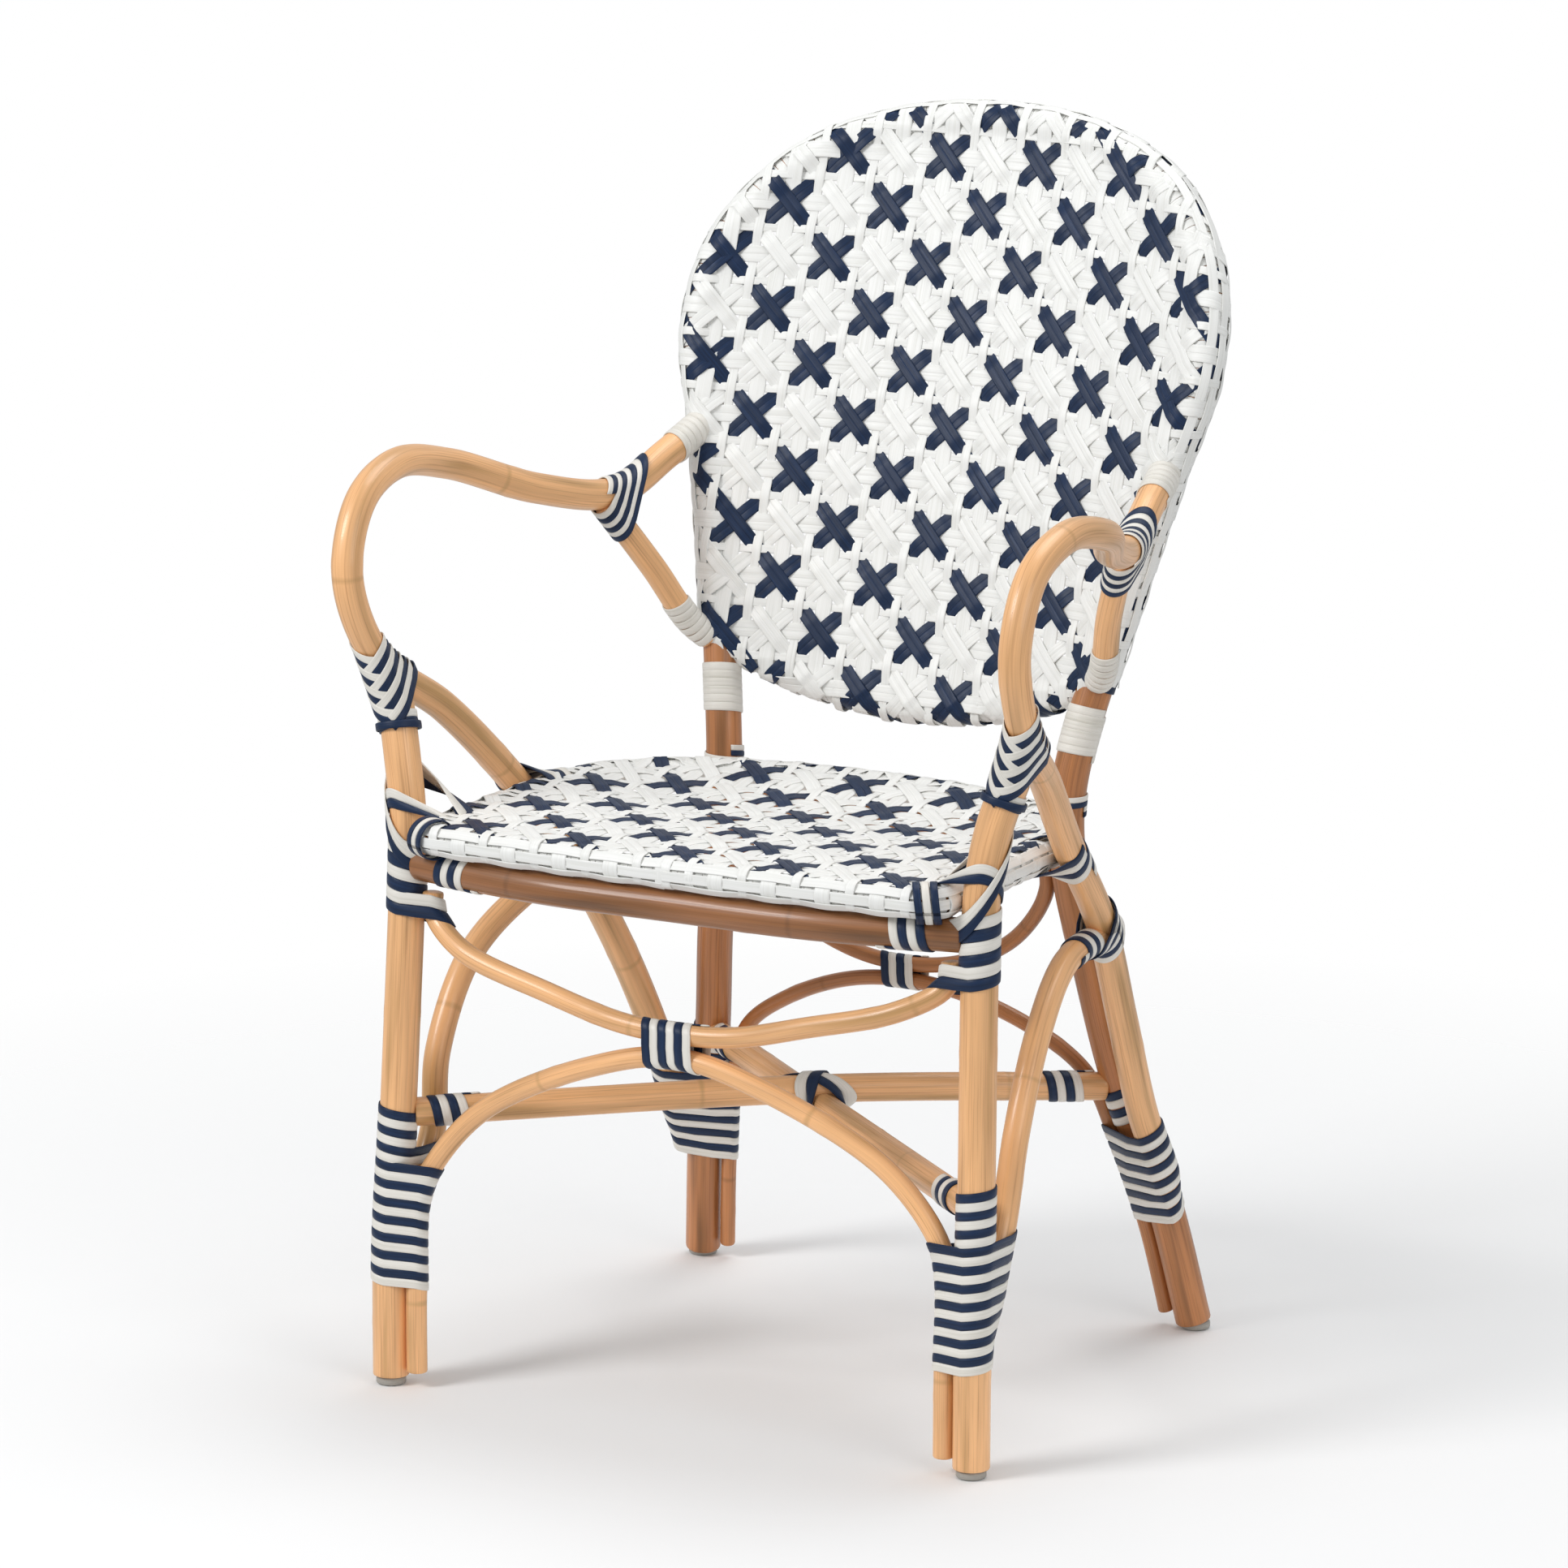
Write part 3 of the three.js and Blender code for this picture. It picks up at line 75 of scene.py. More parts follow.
# Woven seat and backrest
seat_nose, seat_back, seat_thick, seat_corner, seat_front_bow = 20.0, 326.0, 25.0, 30.0, 5.0
seat_round, seat_dish = 2.3, 10.5
back_corner_high, back_bottom_drop, back_rim_foot = 522.0, 38.5, 508.0
weave_wrap = 2.3

# Binding strips
band_pitch, wrap_wide, lash_pitch = 14.0, 7.0, 11.0
turn_steps = 36

# Points on a pole's line: how many in each span of its curve, and how far apart they end up
SPAN_POINTS, LINE_GAP = 40, 1.5


def vec(x, y, z):
    return np.array([x, y, z], dtype=float)


X, Y, Z = vec(1, 0, 0), vec(0, 1, 0), vec(0, 0, 1)


def unit(v):
    return v / (np.linalg.norm(v) or 1.0)


def mix(a, b, t):
    return a + (b - a) * t


def smooth(t, a, b):
    s = np.clip((t - a) / (b - a), 0.0, 1.0)
    return s * s * (3 - 2 * s)


def rows_unit(v):
    return v / np.linalg.norm(v, axis=-1, keepdims=True)


def mirrored(p):
    return np.array([-p[0], p[1], p[2]])


def level(share):
    """Height of a level: 0 is the floor, 1 the seat and 2 the top of the arms."""
    return share * seat_high if share < 1 else seat_high + (share - 1) * (arm_high - seat_high)


def back_depth(x, z):
    """Depth of the backrest's middle surface."""
    u = (z - seat_high) / (back_high - seat_high)
    return root_depth + back_rake * ((1 - back_curve) * u + back_curve * u * u) - back_bow * (x / back_half) ** 2


def back_normal(x, z):
    """Direction square to the backrest and away from the sitter, at one place or at many."""
    e = 0.2
    dx = (back_depth(x + e, z) - back_depth(x - e, z)) / (2 * e)
    dz = (back_depth(x, z + e) - back_depth(x, z - e)) / (2 * e)
    return rows_unit(np.stack([-dx, np.ones_like(dx), -dz], axis=-1))


def on_back(x, z, proud=0.0):
    """A place on the backrest, that far in front of its middle surface, or many such places."""
    return np.stack([x, back_depth(x, z), z], axis=-1) - back_normal(x, z) * np.asarray(proud)[..., None]


def run_along(points):
    """The distance run at each of the points."""
    return np.concatenate([[0], np.cumsum(np.linalg.norm(np.diff(points, axis=0), axis=1))])


def curve_through(points):
    """A dense line through the points, with the parameter spaced by the root of each run."""
    pts = [np.asarray(p, float) for p in points]
    pts = [2 * pts[0] - pts[1]] + pts + [2 * pts[-1] - pts[-2]]
    out = []
    for i in range(1, len(pts) - 2):
        x0, x1, x2, x3 = pts[i - 1 : i + 3]
        d0, d1, d2 = (max(np.linalg.norm(b - a), 1e-9) ** 0.5 for a, b in ((x0, x1), (x1, x2), (x2, x3)))
        t1 = ((x1 - x0) / d0 - (x2 - x0) / (d0 + d1) + (x2 - x1) / d1) * d1
        t2 = ((x2 - x1) / d1 - (x3 - x1) / (d1 + d2) + (x3 - x2) / d2) * d1
        c2, c3 = -3 * x1 + 3 * x2 - 2 * t1 - t2, 2 * x1 - 2 * x2 + t1 + t2
        for t in np.linspace(0, 1, SPAN_POINTS, endpoint=False):
            out.append(x1 + t1 * t + c2 * t * t + c3 * t ** 3)
    out.append(pts[-2])
    return np.array(out)


def spaced(line, gap):
    """The same line with its points evenly spaced, and its length."""
    run = run_along(line)
    count = max(2, int(round(run[-1] / gap)))
    at = np.linspace(0, run[-1], count + 1)
    return np.stack([np.interp(at, run, line[:, k]) for k in range(3)], axis=1), run[-1]


class Route:
    """A pole's middle line with its radius along it."""

    def __init__(self, points, radius, closed=False):
        line = np.asarray(points) if closed else curve_through(points)
        if closed:
            line = np.vstack([line, line[:1]])
        self.points, self.length = spaced(line, LINE_GAP)
        self.count = len(self.points) - 1
        self.step = self.length / self.count
        p = self.points
        if closed:
            around = np.vstack([p[-2], p, p[1]])
            dirs = around[2:] - around[:-2]
        else:
            dirs = np.gradient(p, axis=0)
        self.dirs = rows_unit(dirs)
        self.radius = radius

    def _mixed(self, values, d):
        f = min(max(d / self.step, 0.0), self.count)
        i = min(int(f), self.count - 1)
        return mix(values[i], values[i + 1], f - i)

    def at(self, d):
        return self._mixed(self.points, d)

    def dir(self, d):
        return unit(self._mixed(self.dirs, d))

    def near(self, p):
        """The distance along it at the point nearest to a place."""
        return int(np.argmin(((self.points - p) ** 2).sum(axis=1))) * self.step

    def high(self, z):
        """The distance along it at which it first reaches a height."""
        a = self.points[:, 2] - z
        hits = np.nonzero(a[:-1] * a[1:] <= 0)[0]
        if not len(hits):
            return self.near(vec(self.points[0][0], self.points[0][1], z))
        i = hits[0]
        return (i + a[i] / ((a[i] - a[i + 1]) or 1.0)) * self.step

    def radius_at(self, d):
        return self.radius(d) if callable(self.radius) else self.radius


def beside(route, z, angle, distance):
    """A point beside a pole at a height, on the side that an angle names."""
    p = route.at(route.high(z))
    return vec(p[0] + math.cos(angle) * distance, p[1] + math.sin(angle) * distance, z)


def placed(shares, wide=front_half):
    """Points from shares of a half width, of the feet's depth and of the levels."""
    return [vec(x * wide, y * foot_depth, level(z)) for x, y, z in shares]


def both(half):
    """A line from its first half and the mirror of it, which share the middle point."""
    return list(half) + [mirrored(p) for p in list(half)[:-1][::-1]]


# Front leg
LEG_SHARES = [(1.0, 0.004, 0.246), (0.992, 0.023, 0.4645), (0.984, 0.036, 0.667), (0.978, 0.047, 0.848),
              (0.979, 0.055, 0.992), (1.007, 0.064, 1.164), (1.058, 0.088, 1.341)]
leg = Route([vec(front_half, 0, 0)] + placed(LEG_SHARES), leg_r)

# Back hoop: two posts that close in an arch
POST_SHARES = [(0.248, 0.754, 0.706), (0.46, 0.42, 0.376), (0.67, 0.203, 0.129), (0.86, 0, 0), (1, 0, 0)]
HOOP_SIDE_SHARES = [(0.3, 0.403), (0.509, 0.746), (0.653, 1)]
HOOP_TOP_SHARES = [(0.795, 0.954), (0.9175, 0.734), (0.981, 0.399), (1, 0)]
waist_depth = back_depth(waist_half, seat_high)


def back_level(share):
    return mix(seat_high, back_high, share)


hoop_half = [vec(rear_half, foot_depth, 0)]
hoop_half += [vec(mix(waist_half, rear_half, x), mix(waist_depth, foot_depth, y), z * seat_high)
              for z, x, y in POST_SHARES]
hoop_half += [on_back(mix(waist_half, back_half, x), back_level(z)) for z, x in HOOP_SIDE_SHARES]
hoop_half += [on_back(x * back_half, back_level(z)) for z, x in HOOP_TOP_SHARES]
hoop = Route(both(hoop_half), hoop_r)


def hoop_at(z):
    return hoop.at(hoop.high(z))


# Arm pole: armrest, front loop and brace
ARM_SHARES = [(0.84, 0.83, 1.87), (0.888, 0.698, 1.787), (0.988, 0.514, 1.842), (1.12, 0.337, 1.957),
              (1.14, 0.174, 2.0), (1.136, 0.051, 1.917), (1.128, 0.002, 1.712), (1.1, 0.07, 1.452),
              (1.028, 0.228, 1.254), (0.964, 0.386, 1.002), (0.924, 0.56, 0.8275), (0.876, 0.702, 0.622),
              (0.852, 0.814, 0.428)]
brace_side, brace_tip_r = math.radians(-42), 5.0
brace_end = beside(hoop, level(0.22), brace_side, hoop_r + brace_tip_r + clearance)
brace_meet = beside(hoop, level(0.316), brace_side, hoop_r + arm_r + clearance)
arm = Route([hoop_at(level(1.949))] + placed(ARM_SHARES) + [brace_meet, brace_end], arm_r)
brace_meet_at = arm.near(brace_meet)
arm.radius = lambda d: mix(arm_r, brace_tip_r, smooth(d, brace_meet_at, arm.length))

# Prop under the back of the armrest
PROP_SHARES = [(0.72, 0.795, 1.369), (0.792, 0.7325, 1.55)]
PROP_TOP_SHARE = 0.655
arm_under = next(p for p in arm.points[5:] if p[1] < PROP_TOP_SHARE * foot_depth)
prop = Route([hoop_at(level(1.29))] + placed(PROP_SHARES) + [arm_under], prop_r)

# Side arch: its thinned foot lies behind the front leg and its top butts on the brace
ARCH_SHARES = [(0.986, 0.135, 0.417), (0.996, 0.165, 0.5524), (0.98, 0.263, 0.7035), (0.932, 0.419, 0.789)]


def brace_at(z):
    """Where the brace, below the arm pole's foremost turn, first lies under a height."""
    turn = int(arm.near(vec(front_half, 0, level(1.5))) / arm.step)
    return next((p for p in arm.points[turn:] if p[2] < z), brace_meet)


arch_tip = beside(leg, level(0.195), math.pi / 2, leg_r + arch_tip_r + clearance)
arch_foot = beside(leg, level(0.24), math.pi / 2, leg_r + mix(arch_tip_r, arch_r, 0.6) + clearance)
arch_join = beside(leg, level(0.31), math.pi / 2, leg_r + arch_r + arch_tip_r + clearance)
arch = Route([arch_tip, arch_foot, arch_join] + placed(ARCH_SHARES) + [brace_at(level(0.805))], arch_r)
arch_join_at = arch.near(arch_join)
arch.radius = lambda d: mix(arch_tip_r, arch_r, smooth(d, 0, arch_join_at))

# Seat frame
seat_low = seat_high - seat_thick
rim_r = seat_thick / 2
rim_high = seat_high - rim_r
front_rail_high = seat_low - clearance - front_rail_r
rear_rail_high = seat_low - clearance - rear_rail_r

# Front stretchers
FRONT_BOW_SHARES = [(0.856, 0.04, 0.814), (0.728, 0.01, 0.7757), (0.448, 0.0, 0.7328), (0.192, 0.002, 0.6967)]
FRONT_ARCH_SHARES = [(0.864, 0.023, 0.3946), (0.688, 0.023, 0.5028), (0.296, 0.007, 0.611)]
bow_side = leg_r + front_stretcher_r + beside_gap
bow_drop, tie_gap = 8, 2.6
bow_top = front_rail_high - front_rail_r - bow_drop
bow_second = min(level(0.86), mix(level(0.814), bow_top, 0.5))
front_bow_mid = vec(0, 0.002 * foot_depth, level(0.69))
front_bow = Route(both([beside(leg, bow_top, math.pi, bow_side), beside(leg, bow_second, math.pi, bow_side)]
                       + placed(FRONT_BOW_SHARES) + [front_bow_mid]), front_stretcher_r)
front_arch_mid = front_bow_mid - vec(0, 0, 2 * front_stretcher_r + tie_gap)
front_arch = Route(both([beside(leg, z, math.pi, bow_side) for z in (0, level(0.1675), level(0.335))]
                        + placed(FRONT_ARCH_SHARES) + [front_arch_mid]), front_stretcher_r)

# Rear stretchers
REAR_BOW_SHARES = [(0.662, 0.8256, 0.71), (0.331, 0.837, 0.6494)]
REAR_ARCH_SHARES = [(0.993, 0.879, 0.469), (0.728, 0.865, 0.5366), (0.331, 0.844, 0.5907)]
rear_side, rear_tie_gap = hoop_r + rear_stretcher_r + 2 * beside_gap, 1.0
rear_bow_mid = vec(0, 0.837 * foot_depth, level(0.6336))
rear_bow = Route(both([beside(hoop, level(s), math.pi, rear_side) for s in (0.88, 0.81)]
                      + placed(REAR_BOW_SHARES, waist_half) + [rear_bow_mid]), rear_stretcher_r)
rear_arch_mid = rear_bow_mid - vec(0, 0, 2 * rear_stretcher_r + rear_tie_gap)
rear_arch = Route(both([beside(hoop, z, math.pi, rear_side) for z in (0, level(0.2), level(0.36))]
                       + placed(REAR_ARCH_SHARES, waist_half) + [rear_arch_mid]), rear_stretcher_r)


def diagonal(side, front_share, rear_share, middle_high):
    """A diagonal from one front leg to the post on the other side, bent to its height at the crossing."""
    a, b = leg.at(leg.high(level(front_share))), hoop_at(level(rear_share))
    start, end = vec(-side * a[0], a[1], a[2]), vec(side * b[0], b[1], b[2])
    middle = mix(start, end, a[0] / (a[0] + b[0]))
    middle[2] = middle_high
    return Route([start, middle, end], diagonal_r)


upper_high = level(0.479)
lower_high = upper_high - 2 * diagonal_r + lap_depth
diagonal_a = diagonal(1, 0.4758, 0.4555, upper_high)
diagonal_b = diagonal(-1, 0.4544, 0.451, lower_high)

# Seat outline and the ring inside its edge
leg_at_seat = leg.at(leg.high(rim_high))
brace_at_seat = brace_at(rim_high)
side_front = leg_at_seat[0] - leg_r - clearance
side_rear = min(side_front, brace_at_seat[0] - arm_r - clearance)


EDGE_POINTS, CORNER_POINTS, BACK_POINTS = 60, 24, 120


def seat_outline():
    """The seat's edge seen from above: a bowed front, round corners, sides and a rounded back."""
    half = []
    run = side_front - seat_corner
    for s in np.linspace(0, 1, EDGE_POINTS, endpoint=False):
        half.append((s * run, seat_front_bow * s * s - seat_nose))
    for a in np.linspace(0, math.pi / 2, CORNER_POINTS):
        half.append((run + seat_corner * math.sin(a), seat_front_bow - seat_nose + seat_corner * (1 - math.cos(a))))
    low = half[-1][1]
    for s in np.linspace(0, 1, EDGE_POINTS)[1:-1]:
        half.append((mix(side_front, side_rear, smooth(s, 0, 1)), mix(low, brace_at_seat[1], s)))
    for a in np.linspace(0, math.pi / 2, BACK_POINTS):
        sx, sy = math.cos(a) ** (2 / seat_round), math.sin(a) ** (2 / seat_round)
        half.append((side_rear * sx, mix(brace_at_seat[1], seat_back, sy)))
    left = [(-x, y) for x, y in half[1:-1][::-1]]
    line = np.array([(x, y, rim_high) for x, y in half + left])
    return Route(line, rim_r, closed=True)


outline = seat_outline()
edge_out = np.stack([outline.dirs[:, 1], -outline.dirs[:, 0], np.zeros(len(outline.dirs))], axis=1)
seat_ring = Route((outline.points - edge_out * rim_r)[:-1], seat_ring_r, closed=True)


def sunk(x, y):
    """How far the seat has sunk at a place."""
    u = (y + seat_nose) / (seat_back + seat_nose)
    deep = smooth(u, 0.15, 0.7) * (1 - smooth(u, 0.7, 0.98))
    return seat_dish * deep * (1 - smooth(np.abs(x) / side_front, 0.5, 0.92))


# Rails under the seat and the backrest's bottom rail
frail_end = leg.at(leg.high(front_rail_high))
front_rail = Route(both([vec(frail_end[0], frail_end[1], front_rail_high),
                         vec(side_front / 2, mix(rim_r - seat_nose, leg_at_seat[1], 0.2), front_rail_high),
                         vec(0, rim_r - seat_nose + seat_front_bow, front_rail_high)]), front_rail_r)
rrail_end = hoop_at(rear_rail_high)
rear_rail = Route(both([vec(rrail_end[0], rrail_end[1], rear_rail_high),
                        vec(waist_half / 2, mix(seat_back - rim_r, waist_depth, 0.25), rear_rail_high),
                        vec(0, seat_back - rim_r, rear_rail_high)]), rear_rail_r)
back_corner = hoop_at(back_corner_high)
bottom_rail = Route(both([on_back(back_corner[0] * s, back_corner_high - back_bottom_drop * (1 - s * s))
                          for s in (1, 0.75, 0.5, 0.25, 0)]), bottom_rail_r)
back_rim_r = hoop_r + clearance + weave_wrap
rim_from = hoop.high(back_rim_foot)


# Windings: each strip follows a loop that is tangent to the ovals in which its own plane cuts the poles.
# Where a plane lies too nearly along a pole, this slope bounds the oval.
LEAST_SLOPE = 0.42
# Each strip's cross-section: the place across it, and the share of its thickness there.
WOUND_STRIP = ((0.0, 0.45), (0.06, 0.86), (0.3, 0.98), (0.5, 1.0), (0.7, 0.98), (0.94, 0.86), (1.0, 0.45))
ONE_STRIP = ((0.0, 0.45), (0.045, 0.86), (0.12, 0.96), (0.5, 1.0), (0.88, 0.96), (0.955, 0.86), (1.0, 0.45))
TWO_STRIPS = ((0.0, 0.4), (0.025, 0.84), (0.08, 0.97), (0.25, 1.0), (0.44, 0.95), (0.485, 0.84), (0.5, 0.66),
              (0.515, 0.84), (0.56, 0.95), (0.75, 1.0), (0.92, 0.97), (0.975, 0.84), (1.0, 0.4))


def section(route, c, n, x, y):
    """The oval in which a plane cuts a pole: its centre, the long side's direction, its stretch and radius."""
    d = route.near(c)
    p, along = route.at(d), route.dir(d)
    for _ in range(6):
        rate = along.dot(n)
        if abs(rate) < LEAST_SLOPE:
            break
        d -= (p - c).dot(n) / rate
        inside = min(max(d, 0.0), route.length)
        along = route.dir(inside)
        p = route.at(inside) + along * (d - inside)
    side = along - n * along.dot(n)
    size = np.linalg.norm(side)
    q = side / size if size > 1e-4 else x
    local = p - c
    return (local.dot(x), local.dot(y), q.dot(x), q.dot(y), 1 / max(abs(along.dot(n)), LEAST_SLOPE),
            route.radius_at(min(max(d, 0.0), route.length)))


def reach(ovals, angle, extra):
    """How far the ovals, grown by an extra, reach in one direction."""
    nx, ny = math.cos(angle), math.sin(angle)
    best = -1e9
    for cx, cy, qx, qy, stretch, r in ovals:
        q, m = nx * qx + ny * qy, ny * qx - nx * qy
        best = max(best, cx * nx + cy * ny + (r + extra) * math.hypot(stretch * q, m))
    return best


def corner(ovals, angle, delta, extra):
    """Where the two tangents beside a direction meet."""
    a, b = angle - delta / 2, angle + delta / 2
    ha, hb, s = reach(ovals, a, extra), reach(ovals, b, extra), math.sin(delta)
    return (ha * math.sin(b) - hb * math.sin(a)) / s, (hb * math.cos(a) - ha * math.cos(b)) / s


def wind(cores, axis, turns, width, lift=0.0, start=0.0, thick=1.1, loose=0.0, shift=0.0, swap=None):
    """Rings of one flat strip wound round one or more poles. Lift and swap may follow the turns."""
    delta = math.tau / turn_steps
    held = [False] * len(cores)
    rings = []
    for i in range(int(round(turns * turn_steps)) + 1):
        turned = i / turn_steps
        t = turned / turns
        c, n, ref = axis(t)
        x = unit(ref - n * ref.dot(n))
        y = np.cross(n, x)
        c = c + n * shift * (swap(turned) if swap else 1)
        angle = start + delta * i
        here = [section(route, c, n, x, y) for route, _ in cores]
        for k, (_, first) in enumerate(cores):
            faces = (here[k][0] - here[0][0]) * math.cos(angle) + (here[k][1] - here[0][1]) * math.sin(angle)
            if k == 0 or i == 0 or faces < 0:
                held[k] = t >= first
        low = clearance * 0.5 + loose + (lift(turned) if callable(lift) else lift)
        edges = []
        for side in (-width / 2, width / 2):
            ec = c + n * side
            ovals = [section(route, ec, n, x, y) for (route, _), holds in zip(cores, held) if holds]
            for extra in (low, low + thick):
                px, py = corner(ovals, angle, delta, extra)
                edges.append(ec + x * px + y * py)
        a_low, a_high, b_low, b_high = edges
        rings.append([a_low] + [mix(mix(a_low, a_high, h), mix(b_low, b_high, h), s) for s, h in WOUND_STRIP]
                     + [b_low])
    return rings


def strip_rings(points, normals, width, thick, profile=ONE_STRIP):
    """Cross-sections of a flat strip that follows the points and faces along the normals."""
    ahead = np.gradient(points, axis=0)
    side = rows_unit(np.cross(ahead, normals)) * (width / 2)
    up = rows_unit(np.cross(side, ahead)) * thick
    rows = [points + side * (2 * s - 1) + up * h for s, h in profile]
    return np.stack([points - side] + rows + [points + side], axis=1)


class MeshBuild:
    """Collects swept solids into one mesh, with a grain coordinate at each point."""

    def __init__(self):
        self.verts, self.grain, self.faces = [], [], []
        self.count = self.pieces = 0

    def sweep(self, rings, seed=None, closed=False, across=None):
        """Joins rings of points into one solid. The grain runs along the sweep."""
        rings = np.asarray(rings, dtype=float)
        count, n = rings.shape[:2]
        self.pieces += 1
        chance = (self.pieces if seed is None else seed) * 0.37
        if across is None:
            across = np.stack([run_along(rings[0]), np.full(n, chance * 97)], axis=1)
        grain = np.empty((count, n, 3))
        grain[:, :, :2] = across
        grain[:, :, 2] = (run_along(rings.mean(axis=1)) + chance * 211)[:, None]
        i = np.arange(count if closed else count - 1)[:, None] * n
        j = np.arange(n)[None]
        k, m = (i + n) % (count * n), (j + 1) % n
        quads = np.stack([i + j, i + m, k + m, k + j], axis=-1).reshape(-1, 4) + self.count
        self.faces += quads.tolist()
        if not closed:
            self.faces.append([self.count + j for j in range(n)][::-1])
            self.faces.append([self.count + (count - 1) * n + j for j in range(n)])
        self.verts.append(rings.reshape(-1, 3))
        self.grain.append(grain.reshape(-1, 3))
        self.count += count * n

    def make(self, name, finish, mirror=False):
        """Makes the mesh, at the right or mirrored to the left, with every face smooth."""
        pts = np.concatenate(self.verts)
        pts[:, 1] -= FRONT_FEET
        pts *= MM
        faces = self.faces
        if mirror:
            pts[:, 0] *= -1
            faces = [f[::-1] for f in faces]
        mesh = bpy.data.meshes.new(name)
        mesh.from_pydata(pts, [], faces)
        layer = mesh.attributes.new("grain", "FLOAT_VECTOR", "POINT")
        layer.data.foreach_set("vector", (np.concatenate(self.grain) * MM).ravel())
        mesh.polygons.foreach_set("use_smooth", [True] * len(mesh.polygons))
        mesh.materials.append(finish)
        mesh.update()
        obj = bpy.data.objects.new(name, mesh)
        bpy.context.scene.collection.objects.link(obj)
        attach(obj, "root")
        return obj


# Poles: the distance between rings, the growth rings' spacing, swell and length, and how the ends are rounded
POLE_STEP, KNUCKLE_GAP, KNUCKLE_SWELL, KNUCKLE_LONG = 4.0, 240.0, 0.22, 5.0
END_ROUND, END_DROP = 1.6, 1.4


def round_angles(count):
    return np.linspace(0, math.tau, count, endpoint=False)


def pole_build(route, start, end, seed):
    """A smooth pole, slightly swollen at its growth rings, with rounded ends."""
    places = np.linspace(start, end, max(3, int((end - start) / POLE_STEP)))
    places = [start, start + 0.5, start + END_ROUND, *places[1:-1], end - END_ROUND, end - 0.5, end]
    angles = round_angles(bpy.context.scene.rattan_chair_sizes.pole_sides)
    side = X if abs(route.dir(start)[0]) < 0.8 else Y
    rings = []
    for d in places:
        ahead = route.dir(d)
        side = unit(side - ahead * side.dot(ahead))
        up = np.cross(ahead, side)
        phase = ((d + seed) % KNUCKLE_GAP) / KNUCKLE_GAP
        r = route.radius_at(d) + KNUCKLE_SWELL * math.exp(-((phase - 0.5) * KNUCKLE_GAP / KNUCKLE_LONG) ** 2)
        tip = min(d - start, end - d)
        if tip < END_ROUND:
            r -= (1 - math.sqrt(max(0.0, 1 - (1 - tip / END_ROUND) ** 2))) * END_DROP
        c = route.at(d)
        rings.append([c + side * r * math.cos(a) + up * r * math.sin(a) for a in angles])
    r = route.radius_at(start)
    build = MeshBuild()
    build.sweep(rings, int(seed) % 17, across=[(r * math.cos(a), r * math.sin(a)) for a in angles])
    return build


# Materials
def srgb(r, g, b):
    def lin(v):
        v /= 255
        return v / 12.92 if v <= 0.04045 else ((v + 0.055) / 1.055) ** 2.4
    return (lin(r), lin(g), lin(b), 1.0)


def grey(value):
    return (value, value, value, 1)


def feed(tree, node, inputs):
    """Sets a node's inputs, each to a constant or to the socket that feeds it."""
    for key, value in dict(inputs).items():
        if isinstance(value, bpy.types.NodeSocket):
            tree.links.new(value, node.inputs[key])
        else:
            node.inputs[key].default_value = value


def add_node(tree, kind, inputs=(), **settings):
    node = tree.nodes.new("ShaderNode" + kind)
    for name, value in settings.items():
        setattr(node, name, value)
    feed(tree, node, inputs)
    return node


def ramp(tree, value, *stops):
    node = add_node(tree, "ValToRGB", {0: value})
    els = node.color_ramp.elements
    while len(els) > 1:
        els.remove(els[-1])
    els[0].position, els[0].color = stops[0]
    for pos, col in stops[1:]:
        els.new(pos).color = col
    return node.outputs[0]


def mix_colour(tree, factor, a, b, mode="MIX"):
    return add_node(tree, "Mix", {0: factor, 6: a, 7: b}, data_type="RGBA", blend_type=mode).outputs[2]


def maths(tree, op, a, b=0.0):
    return add_node(tree, "Math", {0: a, 1: b}, operation=op).outputs[0]


STREAK_INPUTS = ("Across", "Along", "Broad across", "Broad along")


def streak_group():
    """Shared group: lengthwise streaks of a strip or pole, each as a value that also serves as a height."""
    name = "Lengthwise streaks"
    if name in bpy.data.node_groups:
        return bpy.data.node_groups[name]
    g = bpy.data.node_groups.new(name, "ShaderNodeTree")
    for label in STREAK_INPUTS:
        g.interface.new_socket(label, in_out="INPUT", socket_type="NodeSocketFloat")
    for label in ("Fine", "Broad"):
        g.interface.new_socket(label, in_out="OUTPUT", socket_type="NodeSocketFloat")
    given, result = g.nodes.new("NodeGroupInput"), g.nodes.new("NodeGroupOutput")
    attr = add_node(g, "Attribute", attribute_name="grain")
    for across, along, out, detail in (("Across", "Along", "Fine", 3.0), ("Broad across", "Broad along", "Broad", 2.0)):
        wide, long = given.outputs[across], given.outputs[along]
        stretch = add_node(g, "CombineXYZ", {0: wide, 1: wide, 2: long})
        place = add_node(g, "VectorMath", {0: attr.outputs["Vector"], 1: stretch.outputs[0]}, operation="MULTIPLY")
        noise = add_node(g, "TexNoise", {"Vector": place.outputs[0], "Scale": 1.0, "Detail": detail, "Roughness": 0.6})
        feed(g, result, {out: noise.outputs[0]})
    return g


def plain_material(name, inputs):
    mat = bpy.data.materials.new(name)
    mat.use_nodes = True
    bsdf = mat.node_tree.nodes["Principled BSDF"]
    feed(mat.node_tree, bsdf, inputs)
    return mat, mat.node_tree, bsdf


def streaked_material(name, roughness, coat, coat_rough, specular, streaks):
    """A material with the shared streaks: the material, its tree, its shader and both kinds of streak."""
    mat, tree, bsdf = plain_material(name, {"Roughness": roughness, "Coat Weight": coat, "Coat Roughness": coat_rough,
                                            "Specular IOR Level": specular})
    group = add_node(tree, "Group", node_tree=streak_group())
    feed(tree, group, zip(STREAK_INPUTS, streaks))
    return mat, tree, bsdf, group.outputs["Fine"], group.outputs["Broad"]


